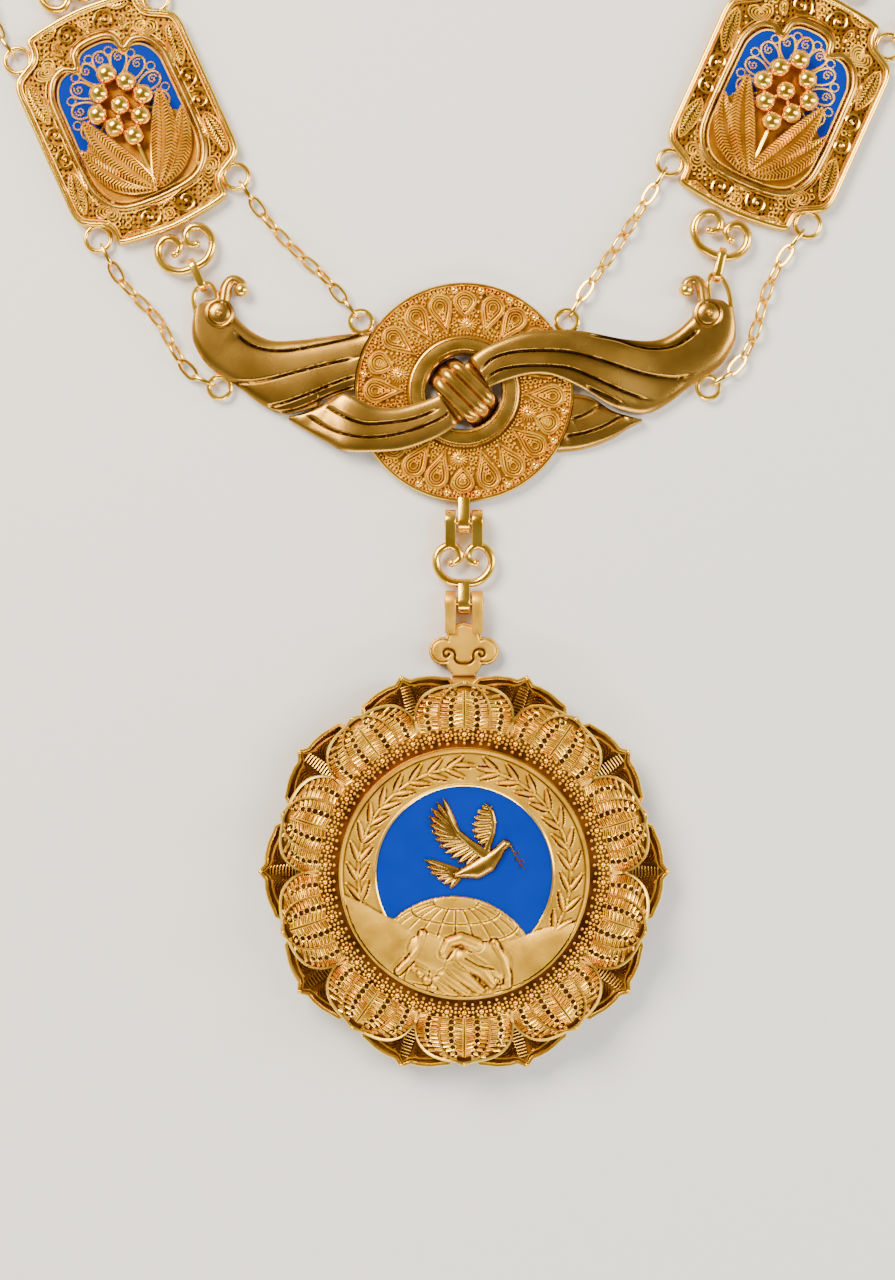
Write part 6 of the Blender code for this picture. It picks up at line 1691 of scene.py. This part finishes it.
def build_plaque_panel(side, name):
    """Blue enamel with cells of rope wire in its upper half."""
    cells, small = [], []
    for i in range(9):
        angle = radians(-14 + 26 * i)
        across, up = cos(angle), sin(angle)
        middle = (6.9 * across, 3 + 8.6 * up)
        cell = []
        for k in range(16):
            t = TURN * k / 16
            long, wide = 2.9 * cos(t), 1.55 * sin(t) * (1 + 0.35 * cos(t))
            cell.append(keep_in_panel(middle[0] + across * long - up * wide, middle[1] + up * long + across * wide))
        cells.append(cell)
        curl = spiral((middle[0] + across * 1.2, middle[1] + up * 1.3), 1, degrees(angle), 1.2)
        small.append([keep_in_panel(x, y) for x, y in curl])
        turn = angle + radians(13)
        ring = circle(9.6 * cos(turn), 2.8 + 11.3 * sin(turn), 0.85, 10)
        small.append([keep_in_panel(x, y) for x, y in ring + ring[:1]])
    inside = rounded_loop(panel_outline(-0.55))
    upper = [(x, y, ENAMEL_FACE + 0.1) for x, y in inside]
    layers = [(flat_plate(side, rounded_loop(panel_outline(-0.3)), 1.3, ENAMEL_FACE), ENAMEL),
              (flat_plate(side, gold_ground(), ENAMEL_FACE - 0.1, ENAMEL_FACE + 0.2), SHEET),
              rope(side, cells + [upper], True, 0.27), rope(side, small, False, 0.2)]
    finished_piece(f"{name}_blue_panel", layers, "collar", [f"{name}_plaque_enamel"])


def gold_ground():
    """Outline of the gold sheet: the foot of the window up to the line behind leaves and berries."""
    window = rounded_loop(panel_outline(-0.2))
    foot = sorted((point for point in window if point[1] < GROUND_TOP[0][1]), key=lambda p: atan2(p[0], -p[1]))
    return foot + list(reversed(GROUND_TOP))


def rope(side, strokes, closed, radius):
    """Beads along strokes, as a layer: at this size twisted wire shows as a row of grains."""
    beads = []
    for stroke in strokes:
        route = [Vector(point) for point in stroke + ([stroke[0]] if closed else [])]
        beads += spaced(route, max(3, round(route_length(route) / BEAD_PITCH)))
    return granules(spots_on(side, beads), radius), WIRE


def keep_in_panel(x, y):
    """A place just above the enamel, pulled towards the panel's middle until it lies inside the window."""
    window = panel_outline(-0.7)
    for _ in range(20):
        if depth_in_outline(np.array([x]), np.array([y]), window)[0] > 0:
            break
        x, y = x * 0.96, 3 + (y - 3) * 0.96
    return (x, y, ENAMEL_FACE + 0.1)


def build_spray(side, name):
    """Leaves of ladder wire and the bunch of berries."""
    sheets, rims, bars = [], [], []
    for tip, width, bow, lift in LEAVES:
        bow = -bow if tip[0] > 0 else bow
        rim, ladder = filigree_leaf(LEAF_ROOT, tip, width, bow)
        low = SPRAY_LOW + 0.35 + lift
        rims.append([(x, y, low + 0.25 + 0.8 * rise) for x, y, rise in rim])
        bars += [[(x, y, low + 0.3 + 0.9 * rise) for x, y, rise in bar] for bar in ladder]
        sheets.append(leaf_sheet(side, tip, width, bow, low))
    layers = [(sheet, SHEET) for sheet in sheets]
    layers += [(wires(in_jewel(side, rims), 0.42, 6, closed=True), POLISHED),
               (wires(in_jewel(side, bars), 0.36, 4), WIRE)]
    finished_piece(f"{name}_ladder_wire_leaves", layers, "collar", [f"{name}_plaque_leaves"])
    berries = [(column * BERRY_PITCH, row * BERRY_PITCH + BUNCH_Y, SPRAY_LOW + BERRY_RADIUS - 0.05)
               for column, row in BERRY_STEPS]
    collars = [[(*place, SPRAY_LOW + 0.5) for place in circle(x, y, 1.6, 14)] for x, y, _ in berries]
    stalks = [[(x0, y0, SPRAY_LOW + 1.2), (x1, y1, SPRAY_LOW + 1.2)] for x0, y0, _ in berries
              for x1, y1, _ in berries if 0 < hypot(x1 - x0, y1 - y0) < 4.7 and x1 > x0 - 0.01]
    stalks.append([(0, -4.5, SPRAY_LOW + 0.9), (0, -14.6, SPRAY_LOW + 0.9)])
    layers = [(granules(spots_on(side, berries), 1.08 * BERRY_RADIUS, 4), POLISHED),
              (wires(in_jewel(side, collars), 0.4, 6, closed=True), WIRE),
              (wires(in_jewel(side, stalks), 0.8, 8), WIRE)]
    finished_piece(f"{name}_gold_berries", layers, "collar", [f"{name}_plaque_berries"])


def leaf_sheet(side, tip, width, bow, low):
    """The arched sheet behind a leaf's wires."""
    place = leaf_places(LEAF_ROOT, tip, width, bow)[1]

    def level(u, v, drop):
        x, y, rise = place(v, (2 * u - 1) * leaf_half(width, v))
        return on_plaque(side, x, y, low + 0.8 * rise - drop)

    return skin(6, 20, lambda u, v: level(u, v, 0), lambda u, v: level(u, v, 0.35))


def build_plaques():
    """Both plaques."""
    for side, name in SIDES:
        build_plaque_frame(side, name)
        build_plaque_panel(side, name)
        build_spray(side, name)


def build_clasp():
    """Barrel clasp with a turned band at each end and an eye for each chain."""
    half = CLASP_LENGTH / 2 - 1.5
    profile = [(0, -half), (1.3, -half), (1.45, -half + 0.5), (2, -half + 1.6), (2.3, -half + 2.1),
               (2.3, -half + 3), (2.1, -half + 3.2), (2.1, half - 3.2), (2.3, half - 3), (2.3, half - 2.1),
               (2, half - 1.6), (1.45, half - 0.5), (1.3, half), (0, half)]
    barrel = turned(profile, 40, unit=MM)
    place = Matrix.Translation((0, NECK_TOP * MM, CLASP_RADIUS * MM)) @ Matrix.Rotation(pi / 2, 4, "Y")
    bmesh.ops.transform(barrel, matrix=place, verts=barrel.verts[:])
    eyes = [(round_ring(Vector((side * CLASP_EYE * MM, NECK_TOP * MM, CHAIN_HEIGHT)), 1.1, 0.6, 24), POLISHED)
            for side in (-1, 1)]
    finished_piece("barrel_clasp", [(barrel, POLISHED)] + eyes, "collar", ["neck_clasp"])


# ---------------- floor, light and camera

def build_floor():
    """A plain floor of matt pale paper, far wider than the picture."""
    material, _, shader = blank_material("pale paper")
    shader.inputs["Base Color"].default_value = linear("#DDD9D0")
    shader.inputs["Roughness"].default_value = 0.9
    bm = bmesh.new()
    bmesh.ops.create_grid(bm, x_segments=1, y_segments=1, size=1.5)
    floor = placed("floor", mesh_data(bm, "floor"))
    floor.data.materials.append(material)


def soft_light(name, place, width, height, power, colour):
    """A softbox turned towards the middle of the jewel."""
    light = bpy.data.lights.new(name, "AREA")
    light.shape = "RECTANGLE"
    light.size, light.size_y = width, height
    light.energy = power
    light.color = linear(colour)[:3]
    box = placed(name, light)
    box.location = place
    box.rotation_euler = (CAMERA_AIM - Vector(place)).to_track_quat("-Z", "Y").to_euler()


def build_surroundings():
    """The room that the metal mirrors: dim overhead, brighter towards the walls."""
    world = bpy.data.worlds.new("studio")
    bpy.context.scene.world = world
    world.use_nodes = True
    tree = world.node_tree
    way = node(tree, "ShaderNodeTexCoord", {}).outputs["Generated"]
    height = node(tree, "ShaderNodeSeparateXYZ", {"Vector": way}).outputs["Z"]
    level = node(tree, "ShaderNodeMapRange", {"Value": height, "From Min": 0.1, "From Max": 0.8,
                                              "To Min": 1, "To Max": 0.24})
    backdrop = tree.nodes["Background"]
    backdrop.inputs["Color"].default_value = linear("#FFF9F0")
    tree.links.new(level.outputs["Result"], backdrop.inputs["Strength"])


def build_camera():
    """The photograph's view, straight down, with the badge towards the foot of the picture."""
    scene = bpy.context.scene
    scene.render.resolution_x, scene.render.resolution_y = IMAGE_WIDTH, IMAGE_HEIGHT
    camera = bpy.data.cameras.new("camera")
    camera.sensor_width = 36
    camera.lens = camera.sensor_width / 2 / (FRAMED_HEIGHT / 2 / CAMERA_RISE)
    camera.clip_start, camera.clip_end = 0.01, 10
    holder = placed("camera", camera)
    holder.location = CAMERA_AIM + Vector((0, 0, CAMERA_RISE))
    scene.camera = holder


SLOT_MATERIALS = {"filigree_gilt": WIRE, "polished_gilt": POLISHED, "satin_gilt": SATIN,
                  "sandblasted_gilt": SANDBLASTED, "chain_gilt": POLISHED, "blue_enamel": ENAMEL}


def paint_kept_nodes():
    """Pieces that show as the CAD shaped them get the finish of their slot."""
    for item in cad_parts.values():
        for place in item.material_slots:
            place.material = SLOT_MATERIALS.get(place.name.split(".")[0], POLISHED)


# ---------------- everything together

build_floor()
build_surroundings()
soft_light("key softbox", (-0.42, 0.50, 0.62), 0.5, 0.4, 19, "#FFF6E8")
soft_light("right softbox", (0.55, 0.10, 0.42), 0.25, 0.6, 6, "#F2F6FF")
soft_light("foot strip", (0, -0.50, 0.38), 0.7, 0.12, 3.5, "#FFFFFF")
build_camera()

build_inner_tier()
build_outer_tier()
build_granule_ring()
build_medallion()
build_dove()
build_knot_disc()
build_knot_ring()
build_strap()
build_wings()
build_connector()
build_bail()
build_jump_links()
build_chains()
build_plaques()
build_clasp()
paint_kept_nodes()
